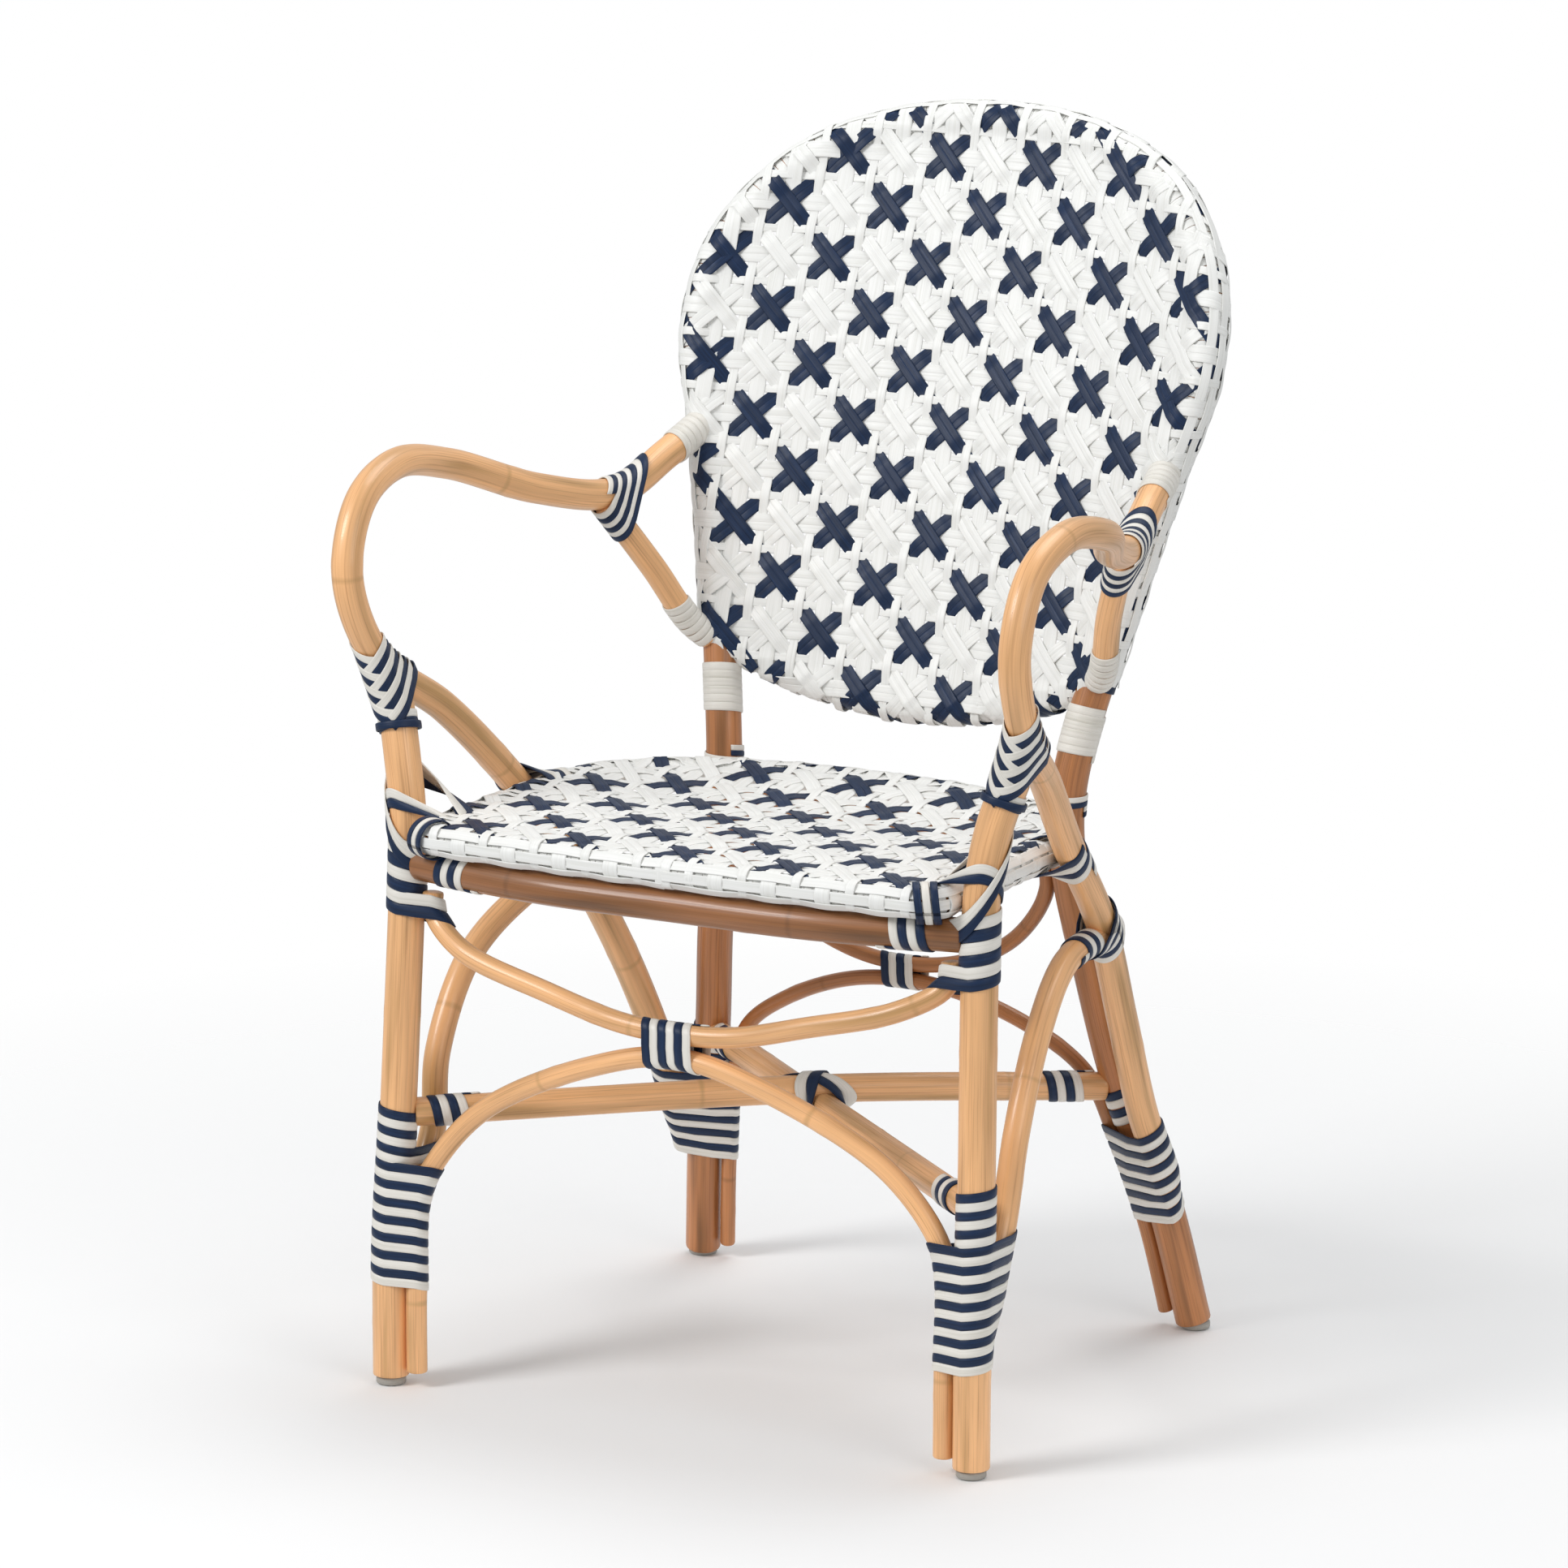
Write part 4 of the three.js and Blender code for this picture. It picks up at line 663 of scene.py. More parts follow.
def bump(tree, height, distance, strength=1.0):
    return add_node(tree, "Bump", {"Distance": distance, "Strength": strength, "Height": height}).outputs[0]


def rattan_material(name, pale, mid, dark):
    """Varnished cane: lengthwise streaks, and a dark ring where a leaf once grew."""
    mat, tree, bsdf, fine, broad = streaked_material(name, 0.34, 0.35, 0.16, 0.5, (900, 9, 75, 5))
    body = ramp(tree, broad, (0.3, dark), (0.46, mid), (0.62, pale), (0.8, mid))
    streaks = ramp(tree, fine, (0.3, (0.62, 0.55, 0.48, 1)), (0.48, grey(1)), (0.75, (1.06, 1.05, 1.03, 1)))
    grain = add_node(tree, "Attribute", attribute_name="grain").outputs["Vector"]
    along = add_node(tree, "SeparateXYZ", {0: grain}).outputs[2]
    phase = maths(tree, "FRACT", maths(tree, "DIVIDE", along, KNUCKLE_GAP * MM))
    apart = maths(tree, "ABSOLUTE", maths(tree, "SUBTRACT", phase, 0.5))
    noise = add_node(tree, "TexNoise", {"Scale": 90, "Vector": grain}).outputs[0]
    wobble = maths(tree, "MULTIPLY", maths(tree, "SUBTRACT", noise, 0.5), 0.012)
    ring = add_node(tree, "MapRange", {"Value": maths(tree, "ADD", apart, wobble), "From Min": 0.002, "From Max": 0.012,
                                       "To Min": 0.45, "To Max": 0.0}).outputs[0]
    height = maths(tree, "ADD", fine, maths(tree, "MULTIPLY", ring, -0.5))
    feed(tree, bsdf, {"Base Color": mix_colour(tree, ring, mix_colour(tree, 0.75, body, streaks, "MULTIPLY"), dark),
                      "Roughness": ramp(tree, fine, (0.3, grey(0.5)), (0.7, grey(0.28))),
                      "Normal": bump(tree, height, 0.00022)})
    return mat


def strip_material(name, low, mid, high, roughness, coat, contrast, specular=0.5):
    """A flat strip with fine lines along it."""
    mat, tree, bsdf, fine, broad = streaked_material(name, roughness, coat, 0.3, specular, (2600, 16, 480, 12))
    body = ramp(tree, broad, (0.3, low), (0.5, mid), (0.72, high))
    lines = ramp(tree, fine, (0.32, low), (0.5, mid), (0.68, high))
    feed(tree, bsdf, {"Base Color": mix_colour(tree, 0.45, body, lines), "Normal": bump(tree, fine, 0.00016, contrast),
                      "Roughness": ramp(tree, fine, (0.3, grey(roughness + 0.12)), (0.7, grey(roughness - 0.05)))})
    return mat


def glide_material():
    mat, tree, bsdf = plain_material("Glide plastic", {"Roughness": 0.5})
    noise = add_node(tree, "TexNoise", {"Scale": 900}).outputs[0]
    feed(tree, bsdf, {"Base Color": ramp(tree, noise, (0.3, srgb(150, 146, 138)), (0.7, srgb(192, 188, 180))),
                      "Normal": bump(tree, noise, 0.0002)})
    return mat


# Each finish: its maker and name, its colour, three shades of it (brightness, and warmth of the blue) and the rest.
FINISHES = {
    "rattan": (rattan_material, "Honey rattan", "honey", ((1.16, 1), (0.96, 1), (0.62, 0.8))),
    "dark_rattan": (rattan_material, "Brown rattan", "brown", ((1.12, 1), (0.86, 1), (0.48, 0.8))),
    # The front rail's finish keeps its own red-brown tone, but is made much darker than the brown rattan as painted
    # shade from the seat above it.
    "red_brown_rattan_with_painted_shade": (rattan_material, "Red-brown rattan", "brown", ((0.66, 1), (0.5, 0.9), (0.3, 0.8))),
    "navy": (strip_material, "Navy strand", "navy", ((0.66, 1), (1, 1), (1.7, 1)), 0.4, 0.03, 0.9, 0.3),
    "white": (strip_material, "White strand", "white", ((0.88, 0.97), (1, 1), (1.05, 1)), 0.42, 0.08, 0.7),
    "binding_white": (strip_material, "Ivory binding strip", "binding_white", ((0.82, 0.95), (1, 1), (1.1, 1)),
                      0.42, 0.08, 0.8),
}
MATERIALS = {}


def material(name):
    """The chair's finishes, each made once."""
    if name not in MATERIALS and name == "glide":
        MATERIALS[name] = glide_material()
    elif name not in MATERIALS:
        maker, label, colour, shades, *rest = FINISHES[name]
        r, g, b, _ = getattr(bpy.context.scene.rattan_chair_colours, colour)
        tones = [(min(r * k, 1), min(g * k, 1), min(b * k * warm, 1), 1) for k, warm in shades]
        MATERIALS[name] = maker(label, *tones, *rest)
    return MATERIALS[name]


# Bindings
def along(route, start, end, ref=X):
    """An axis that runs along a pole."""
    sign = 1 if end > start else -1

    def axis(t):
        d = mix(start, end, t)
        return route.at(d), route.dir(d) * sign, ref
    return axis


def straight(middle, way, first, last, ref=X):
    """An axis that runs straight past a place."""
    return lambda t: (middle + way * mix(first, last, t), way, ref)


def on(route, start=0.0):
    """A pole that a winding goes round, from a share of its run on."""
    return (route, start)


# A lashing changes over at the end of its first turn, and its second turn lies this far over the first one.
CHANGE_OVER, LASH_LIFT = (0.94, 1.06), 1.4


def crossed(first, second, pa, pb, da, db, pitch):
    """The plan of a lashing that crosses in an X on the first pole."""
    e = unit(pb - pa)

    def flat(v):
        return unit(v - e * v.dot(e))
    one, two = flat(da + db), flat(db - da)
    side = math.copysign(1, np.cross(one, two).dot(e))
    swing = math.acos(np.clip(one.dot(two), -1, 1)) * side
    c, half = (pa + pb) / 2, pitch / 2

    def axis(t):
        turned = t * 2
        w = smooth(turned, *CHANGE_OVER)
        a = swing * w
        n = one * math.cos(a) + np.cross(e, one) * math.sin(a) + e * e.dot(one) * (1 - math.cos(a))
        return c + n * mix(mix(-half, half, turned), mix(-half, half, turned - 1), w), n, e
    return dict(cores=[on(first), on(second)], axis=axis, turns=2, loose=clearance,
                lift=lambda turned: LASH_LIFT * smooth(turned, 0.6, 0.88))


half_ring = seat_ring.points[(seat_ring.points[:, 0] > seat_corner) & (seat_ring.points[:, 1] < seat_back - rim_r)]
rim_line = Route(half_ring[::12], rim_r)


STRETCH_HALF = 42


def short_line(route, d, radius):
    """A place on a line, the way ahead, and a short straight stretch of it."""
    spot, ahead = route.at(d), route.dir(d)
    return spot, ahead, Route([spot - ahead * STRETCH_HALF, spot, spot + ahead * STRETCH_HALF], radius)


def rim_beside(p, behind):
    return short_line(rim_line, rim_line.near(vec(p[0] - leg_r - rim_r, p[1] + behind, rim_high)), rim_r)


def meeting(a, da, b, db):
    """The direction halfway between two poles' own."""
    return unit(a.dir(da) + b.dir(db))


def binding_plans():
    """What each binding goes round and how, by node name. A plan named for one side serves both."""
    plans = {}

    def down_post(name, post, top, foot, joins, **more):
        """Turns down a post between two levels, that take in other poles from the levels where they join."""
        high, low = post.high(level(top)), post.high(level(foot))
        more.setdefault("turns", round((high - low) / band_pitch))
        plans[name] = dict(cores=[on(post)] + [on(pole, (top - at) / (top - foot)) for pole, at in joins],
                           axis=along(post, high, low), start=-math.pi / 2, **more)

    def on_pole(name, pole, start, run, turns, ref=X, **more):
        """Turns on one pole, from a place on it."""
        plans[name] = dict(cores=[on(pole)], axis=along(pole, start, start + run, ref), turns=turns, **more)
    leg_run = leg.high(level(0.95)) - leg.high(level(0.826))
    down_post("leg_top_binding", leg, 0.95, 0.826, [(front_bow, (bow_top + 6) / seat_high)],
              turns=3, flip=-1, pitch=leg_run / 3, loose=clearance)
    down_post("leg_low_binding", leg, 0.487, 0.182, [(arch, 0.43), (front_arch, 0.385)])
    down_post("rear_leg_binding", hoop, 0.46, 0.215, [(arm, 0.41), (rear_arch, 0.385)])
    wrap_grow = (leg_r + clearance + 1.2) / math.cos(math.pi / 10) - leg_r + clearance
    on_pole("front_rail_wrap", front_rail, wrap_grow + leg_r + 18, 36, 2.6, Z)
    near = wrap_grow + leg_r + 12
    for name, route in (("diagonal_a", diagonal_a), ("diagonal_b", diagonal_b)):
        on_pole(name + "_front_wrap", route, near, 28, 2, Z)
        on_pole(name + "_rear_wrap", route, route.length - near - 28, 28, 2, Z)
    for name, mid, r, gap, bow, low, half, turns in (
            ("front", front_bow_mid, front_stretcher_r, tie_gap / 2, front_bow, front_arch, 21, 3),
            ("rear", rear_bow_mid, rear_stretcher_r, rear_tie_gap / 2, rear_bow, rear_arch, 14, 2)):
        plans[name + "_centre_binding"] = dict(cores=[on(bow), on(low)], turns=turns,
                                               axis=straight(mid - Z * (r + gap), X, -half, half, Z))
    ca = diagonal_a.near(vec(0, leg.at(0)[1] + foot_depth / 2, upper_high))
    pa = diagonal_a.at(ca)
    plans["diagonal_cross_lashing"] = crossed(diagonal_a, diagonal_b, pa, vec(pa[0], pa[1], lower_high),
                                              diagonal_a.dir(ca), diagonal_b.dir(diagonal_b.near(pa)), band_pitch)
    prop_top = prop.at(prop.length)
    lean = meeting(arm, arm.near(prop_top), prop, prop.length)
    plans["arm_back_binding"] = dict(cores=[on(arm), on(prop)], turns=3.5, loose=3 * clearance, pitch=9.0,
                                     axis=straight(prop_top, lean, -31, -2))
    on_pole("arch_top_wrap", arch, arch.length - arm_r - wrap_grow - 42, 36, 2.6)
    spot, ahead, rim = rim_beside(leg_at_seat, 11)
    plans["seat_leg_lashing"] = crossed(leg, rim, leg.at(leg.high(rim_high + 12)), spot, Z, ahead, lash_pitch)
    plans["seat_leg_lashing"].update(pitch=lash_pitch, swap=lambda turned: 1 - 2 * smooth(turned, *CHANGE_OVER))
    spot, ahead, rim = rim_beside(brace_at_seat, 0)
    brace_dir = arm.dir(arm.near(brace_at_seat))
    bisector = unit(brace_dir + ahead * math.copysign(1, brace_dir.dot(ahead)))
    plans["seat_brace_lashing"] = dict(cores=[on(arm), on(rim)], turns=2,
                                       axis=straight((brace_at_seat + spot) / 2, bisector, -14, 14))
    on_pole("post_lashing", hoop, hoop.high(level(0.957)), 14, 1.6, loose=clearance, pitch=8.75)
    return plans


WHITE_WRAP_WIDTH = 6.7


def white_wraps():
    """Plain white wraps: at the backrest's corners, and on the ends of the arms and props."""
    start = back_rim_r + wrap_wide - 12
    for name, route, first, last, turns in (
            ("corner_wrap", hoop, hoop.high(level(1.09)), rim_from - wrap_wide - clearance, 6),
            ("arm_end_wrap", arm, start, start + 34, 5), ("prop_end_wrap", prop, start, start + 41, 6)):
        yield name, wind([on(route)], along(route, first, last), turns, WHITE_WRAP_WIDTH)


# The plait: its pitch, points round a turn, rows, and how far each row lies over the last. Its loops tilt up to the
# back and roll up to one side by these angles, in the first row and the last, and meet where each side faces.
PLAIT_PITCH, PLAIT_STEPS, PLAIT_ROWS, PLAIT_LAYER = 14.0, 84, 8, 0.3
PLAIT_TILTS, PLAIT_ROLLS = (23, 32), (34, 28)
PLAIT_FACING = {"right": math.radians(16), "left": math.radians(-8)}


def empty_builds(*tones):
    return {tone: MeshBuild() for tone in tones}


def plait_line():
    """The middle line that the plaited binding follows: up the leg, then up the arm."""
    low = int(arm.near(vec(front_half * 1.128, 0, level(1.712))) / arm.step)
    run = arm.points[low:]
    return Route([leg.at(leg.high(level(s))) for s in (1.0, 1.12, 1.24)]
                 + [run[int(np.flatnonzero(run[:, 2] < level(s))[0])] for s in (1.5, 1.6, 1.69)], arm_r)


def plait_curve(line, front, high, tilt, roll, hand, angles, lifts):
    """A loop round the leg and the arm, tilted up to the back, as points and the ways they face."""
    start = line.high(high)
    points, faces = [], []
    for angle, lift in zip(angles, lifts):
        d = start
        for _ in range(7):
            c, n = line.at(d), line.dir(d)
            x = unit(front - n * front.dot(n))
            y = np.cross(n, x)
            ovals = [section(line, c, n, x, y), section(arm, c, n, x, y)]
            px, py = corner(ovals, hand * angle, math.tau / PLAIT_STEPS, lift)
            up = math.tan(tilt) * (reach(ovals, 0, lift) - px) + math.tan(roll) * hand * py
            d = (d + start + up) / 2
        points.append(c + x * px + y * py)
        faces.append(x * math.cos(angle) + y * math.sin(hand * angle))
    return np.array(points), np.array(faces)


def arm_front_strips(facing):
    """The plaited binding of the leg's top and the arm: pairs of strips that meet in front, each over the last."""
    line = plait_line()
    front = vec(math.sin(facing), -math.cos(facing), 0)
    strips = empty_builds("binding_white", "navy")
    for row in range(PLAIT_ROWS):
        share = row / (PLAIT_ROWS - 1)
        hand = -1 if row % 2 else 1
        tilt, roll = math.radians(mix(*PLAIT_TILTS, share)), math.radians(mix(*PLAIT_ROLLS, share))
        angles = np.arange(math.pi + 0.3, 0.1 if share == 1 else -0.85, -math.tau / PLAIT_STEPS)
        lifts = np.maximum(PLAIT_LAYER * (row + 1) - 1.1 * (1 - smooth(angles, -0.62, -0.32)), 0.05)
        lifts = lifts + 0.45 * (hand + 1) * smooth(angles, math.pi - 0.35, math.pi - 0.1)
        high = level(1.453) - row * PLAIT_PITCH / 2
        curves = [plait_curve(line, front, high + up, tilt, roll, hand, angles, lifts)
                  for up in (PLAIT_PITCH / 4, -PLAIT_PITCH / 4)]
        apart = curves[0][0] - curves[1][0]
        for (points, faces), tone in zip(curves, strips):
            ahead = rows_unit(np.gradient(points, axis=0))
            wide = np.linalg.norm(apart - ahead * (apart * ahead).sum(axis=1)[:, None], axis=1)
            strips[tone].sweep(strip_rings(points, faces, np.clip(wide, 2.6, 6.2)[:, None] * 1.01, 0.9))
    foot = leg.high(level(1.247))
    for tone, up, lift, lean in (("navy", 0, 2.4, -0.06), ("navy", 0.5, 0.2, 0.12), ("binding_white", 6.4, 0.2, 0.12)):
        way = unit(leg.dir(foot) + np.cross(Z, front) * lean)
        strips[tone].sweep(wind([on(leg)], straight(leg.at(foot + up), way, 0, 0, -front), 1.04, 5.9, lift, thick=0.9))
    return strips


def arch_top_strips():
    """Loops that tie the side arch's top to the brace, over the turns on the arch's end."""
    tip = arch.at(arch.length)
    lean = meeting(arm, arm.near(tip), arch, arch.length)
    strips = empty_builds("navy", "binding_white")
    for k in range(3):
        for tone, shift in (("navy", -2.5), ("binding_white", 2.5)):
            axis = straight(tip + lean * (10 * k - 17), lean, 0, 0)
            strips[tone].sweep(wind([on(arm), on(arch)], axis, 1.03, 4.8, shift=shift, loose=1.6))
    return strips


def seat_corner_strips():
    """Loops that stand on the seat's front edge beside the leg."""
    d = seat_ring.near(vec(leg_at_seat[0] - leg_r - rim_r + 3, -20, rim_high))
    spot, ahead, edge = short_line(seat_ring, d, rim_r + 2.2)
    strips = empty_builds("navy", "binding_white")
    for tone, shift in (("navy", -3.2), ("binding_white", 3.2), ("navy", 9.6)):
        axis = straight(spot, unit(ahead + Z * 0.12), 0, 0)
        strips[tone].sweep(wind([on(edge)], axis, 1.03, 5.6, shift=shift))
    return strips


# Woven seat and backrest: a strand's thickness, the wrap under the strands, how far they wave over and under the
# bands, and how much of the lattice's height they keep at the rim.
STRAND_THICK, UNDERLAY, BAND_LIFT, RIM_KEEP = 0.75, 0.9, 1.3, 0.7
LEAST_CROSSING_GAP, BAND_STEP, WRAP_STEPS = 9, 2.2, 20
# Each family of straight strands: how high it rises over the lowest layer, how it rises (0 is level all along),
# and its width.
STRAIGHT = {"upright_wide": (1.1, 0, 12.8), "upright_thin": (2.6, 1.4, 7.3), "level_wide": (1.1, 1.4, 13.2),
            "level_thin": (1.8, 1.4, 6.4)}
SLANT_WIDTH, STRAND_STEP = 11.9, 2.4
# Each lattice: its first crossing, its cell, and the columns and rows that the strands are laid in.
BACK_LATTICE = ((-246.0, 489.2), (41.0, 39.6), range(0, 13), range(-1, 12))
SEAT_LATTICE = ((-267.0, -32.0), (44.5, 45.0), range(0, 13), range(-1, 10))


def layer_height(kind, s, period):
    """Height of a strand over the lowest layer, at a distance from a cell's middle along it."""
    c = 0.5 + 0.5 * np.cos(math.tau * s / period)
    if kind in STRAIGHT:
        high, power, _ = STRAIGHT[kind]
        return high * (1 - c) ** power
    low = 2.05 * smooth(c, 0.08, 0.72)
    return low if kind == "slant_low" else low + 0.9


def back_frame(rail, d):
    """Centre, front and outward side of a pole in the backrest's rim."""
    c, t = rail.at(d), rail.dir(d)
    f = -back_normal(c[0], c[2])
    f = unit(f - t * t.dot(f))
    o = np.cross(t, f)
    outward = o.dot(c - vec(0, c[1], 720)) >= 0 if rail is hoop else o[2] < 0
    return c, f, o if outward else -o


def seat_frame(d):
    """Centre, front and outward side of the ring inside the seat's edge."""
    c, t = seat_ring.at(d), seat_ring.dir(d)
    return c, Z, unit(vec(t[1], -t[0], 0))


class Panel:
    """A woven panel: where its surface lies, and the rim that its strands wrap."""

    def __init__(self, place, normal, frames, base, bands, gap, wrap, band_end=None):
        """Each frame round the rim is a place in the panel's plane, then the centre, front, outward side and radius.
        The bands run round the rim at the angles given, a gap apart. Wrap holds the angles at which strands end:
        straight ones that meet the rim squarely or obliquely, then slanting ones. Bands that stop have a last place."""
        self.place, self.normal, self.base, self.bands, self.gap, self.wrap = place, normal, base, bands, gap, wrap
        self.plane, self.centre, self.front, self.out, self.radius = (np.array(part) for part in zip(*frames))
        self.ahead = rows_unit(np.roll(self.plane, -1, axis=0) - self.plane)
        self.run = run_along(np.vstack([self.centre, self.centre[:1]]))
        self.total = self.run[-1]
        self.closed_bands = band_end is None
        self.band_end = band_end or len(self.plane)

    def rim_at(self, f):
        """Centres, fronts, outward sides and radii at places counted in rim points."""
        i = f.astype(int) % len(self.plane)
        k, w = (i + 1) % len(self.plane), f % 1
        centre, front, out = (mix(v[i], v[k], w[:, None]) for v in (self.centre, self.front, self.out))
        return centre, rows_unit(front), rows_unit(out), mix(self.radius[i], self.radius[k], w)

    def find_crossings(self, first, cell, cols, rows):
        """Where the straight strands cross the rim squarely enough to wrap it, in order round it."""
        found = []
        nxt = np.roll(self.plane, -1, axis=0)
        lines = [(axis, first[axis] + cell[axis] * (k + half))
                 for axis, cells in ((0, cols), (1, rows)) for k in cells for half in (0, 0.5)]
        for axis, value in lines:
            for i in np.nonzero((self.plane[:, axis] - value) * (nxt[:, axis] - value) <= 0)[0]:
                if abs(self.ahead[i][1 - axis]) < 0.7:
                    w = (value - self.plane[i, axis]) / ((nxt[i, axis] - self.plane[i, axis]) or 1.0)
                    found.append(self.run[i] + w * (self.run[i + 1] - self.run[i]))
        kept = []
        for s in sorted(found):
            if not kept or s - kept[-1] > LEAST_CROSSING_GAP:
                kept.append(s)
        if len(kept) % 2:
            kept.pop(1 + int(np.argmin([kept[i + 1] - kept[i - 1] for i in range(1, len(kept) - 1)])))
        self.crossings = np.array(kept)

    def count_at(self, f):
        """The strand number at places counted in rim points, with fractions between strands."""
        s = np.interp(f, np.arange(len(self.run)), self.run)
        c = self.crossings
        line = np.concatenate([[c[-1] - self.total], c, [c[0] + self.total]])
        return np.interp(s % self.total, line, np.arange(-1, len(c) + 1))

    def strand(self, build, start, step, count, kind, period, width, seed, profile=ONE_STRIP):
        """Sweeps one strand along a straight line of the panel's own plane, and round the rim at both ends."""
        ab = np.array(start) + np.outer(np.arange(count), step)
        stride = math.hypot(*step)
        dist, inside, near = polygon_distance(self.plane, ab)
        centre, front, out, r = self.rim_at(near)
        h = layer_height(kind, np.arange(count) * stride, period)
        angle = dist / (r + UNDERLAY)
        deg = np.degrees(angle)
        slant = kind.startswith("slant")
        calm = RIM_KEEP
        if slant:
            calm = RIM_KEEP * (1 - smooth(deg, self.bands[0] - 32, self.bands[0] - 14) * (near < self.band_end))
        lift = r + UNDERLAY + np.where(inside, RIM_KEEP, calm) * h
        over = np.sqrt(np.clip(lift ** 2 - dist ** 2, 0, None))
        off = ((self.base + h) ** 8 + over ** 8) ** 0.125
        turned = front * np.cos(angle)[:, None] + out * np.sin(angle)[:, None]
        rim_ahead = self.ahead[near.astype(int) % len(self.plane)]
        square = np.abs(rim_ahead.dot(np.array([step[1], -step[0]]))) / stride
        wave_up = np.zeros(count)
        marks = np.flatnonzero(np.diff(np.concatenate([[0], inside.astype(int), [0]])))
        for first, end in zip(marks[::2], marks[1::2]):
            if end - first < 3:
                continue
            ends = []
            for edge, way in ((first, -1), (end - 1, 1)):
                full = square[edge] > 0.55
                limit = self.wrap[2 * slant + (not full)]
                i = edge
                while 0 <= i + way < count and not inside[i + way] and deg[i + way] <= limit:
                    i += way
                    if not slant and full:
                        k = round(float(self.count_at(near[edge])))
                        wave = 0.5 + 0.5 * math.cos(math.pi * ((deg[i] - self.bands[0]) / self.gap - k))
                        wave_up[i] = wave * smooth(deg[i], self.bands[0] - self.gap, self.bands[0] - self.gap * 0.5)
                ends.append(i)
            part = slice(ends[0], ends[1] + 1)
            a, b = ab[part].T
            round_it = centre[part] + turned[part] * (lift + BAND_LIFT * wave_up)[part, None]
            points = np.where(inside[part, None], self.place(a, b, off[part]), round_it)
            normals = np.where(inside[part, None], self.normal(a, b), turned[part])
            build.sweep(strip_rings(points, normals, width, STRAND_THICK, profile), seed)

    def band_build(self, width):
        """The bands that run round the rim, over and under the strands that wrap it."""
        build = MeshBuild()
        s = np.arange(0, self.total - BAND_STEP / 2, BAND_STEP)
        f = np.interp(s, self.run, np.arange(len(self.run))) % len(self.plane)
        f = f[f < self.band_end]
        centre, front, out, r = self.rim_at(f)
        count = self.count_at(f)
        for b, deg in enumerate(self.bands):
            a = math.radians(deg)
            normals = front * math.cos(a) + out * math.sin(a)
            wave_up = 0.5 - 0.5 * np.cos(math.pi * (count - b))
            points = centre + normals * (r + UNDERLAY + 0.6 + BAND_LIFT * wave_up)[:, None]
            build.sweep(strip_rings(points, normals, width, STRAND_THICK), 900 + b, closed=self.closed_bands)
        return build

    def underlay_build(self, width):
        """The close wrap of strip that hides the rim's pole."""
        build = MeshBuild()
        turns = int(self.total / width)
        t = np.arange(turns * WRAP_STEPS + 1) / WRAP_STEPS
        f = np.interp(t * self.total / turns, self.run, np.arange(len(self.run))) % len(self.plane)
        centre, front, out, r = self.rim_at(f)
        a = math.tau * t[:, None]
        normals = front * np.cos(a) + out * np.sin(a)
        points = centre + normals * (r + 0.15)[:, None]
        build.sweep(strip_rings(points, normals, width - 0.2, UNDERLAY - 0.25), 77)
        return build

    def weave(self, first, cell, cols, rows):
        """Builds the six families of strands. Returns one mesh per family and colour."""
        self.find_crossings(first, cell, cols, rows)
        (x0, y0), (cx, cy), step = first, cell, STRAND_STEP
        builds = {}

        def strand(name, *line, **more):
            self.strand(builds.setdefault(name, MeshBuild()), *line, **more)
        lo_x, hi_x = x0 + cx * (cols[0] - 1), x0 + cx * (cols[-1] + 1)
        lo_y, hi_y = y0 + cy * (rows[0] - 1), y0 + cy * (rows[-1] + 1)
        seed = 0
        for c in cols:
            seed += 1
            for kind, aside, more in (("upright_wide", 0, 0), ("upright_thin", cx / 2, 500)):
                strand(kind, (x0 + cx * c + aside, lo_y), (0, step), int((hi_y - lo_y) / step), kind, cy,
                       STRAIGHT[kind][2], seed + more)
        for r in rows:
            seed += 1
            for kind, aside, more, profile in (("level_wide", 0, 0, TWO_STRIPS),
                                               ("level_thin", cy / 2, 700, ONE_STRIP)):
                strand(kind, (lo_x, y0 + cy * r + aside), (step, 0), int((hi_x - lo_x) / step), kind, cx,
                       STRAIGHT[kind][2], seed + more, profile=profile)
        far = len(cols) + len(rows) + 2
        long = math.hypot(cx, cy)
        for sign, kind in ((1, "slant_low"), (-1, "slant_high")):
            for k in range(-far, far + 1):
                seed += 1
                col, row = k - far, rows[0] - sign * far
                strand("%s_%s" % (kind, "navy" if (col + row) % 2 else "white"), (x0 + cx * col, y0 + cy * row),
                       (cx / long * step, sign * cy / long * step), int(2.2 * far * long / step), kind, long,
                       SLANT_WIDTH, seed, profile=TWO_STRIPS)
        return builds


def polygon_distance(loop, places):
    """Distance of each place to a closed line, whether it is inside it, and the nearest place counted in its points."""
    p, q = loop[None], np.roll(loop, -1, axis=0)[None]
    v = q - p
    w = places[:, None] - p
    t = np.clip((w * v).sum(axis=2) / (v * v).sum(axis=2), 0, 0.999)
    d = np.sqrt(((w - v * t[..., None]) ** 2).sum(axis=2))
    best = d.argmin(axis=1)
    rows = np.arange(len(places))
    b = places[:, None, 1]
    rise = np.where(v[..., 1] == 0, 1e-9, v[..., 1])
    spans = (p[..., 1] > b) != (q[..., 1] > b)
    crosses = spans & (places[:, None, 0] < v[..., 0] * (b - p[..., 1]) / rise + p[..., 0])
    return d[rows, best], (crosses.sum(axis=1) % 2).astype(bool), best + t[rows, best]


HOOP_PLACES, RAIL_PLACES, RING_PLACES = 260, 90, 330


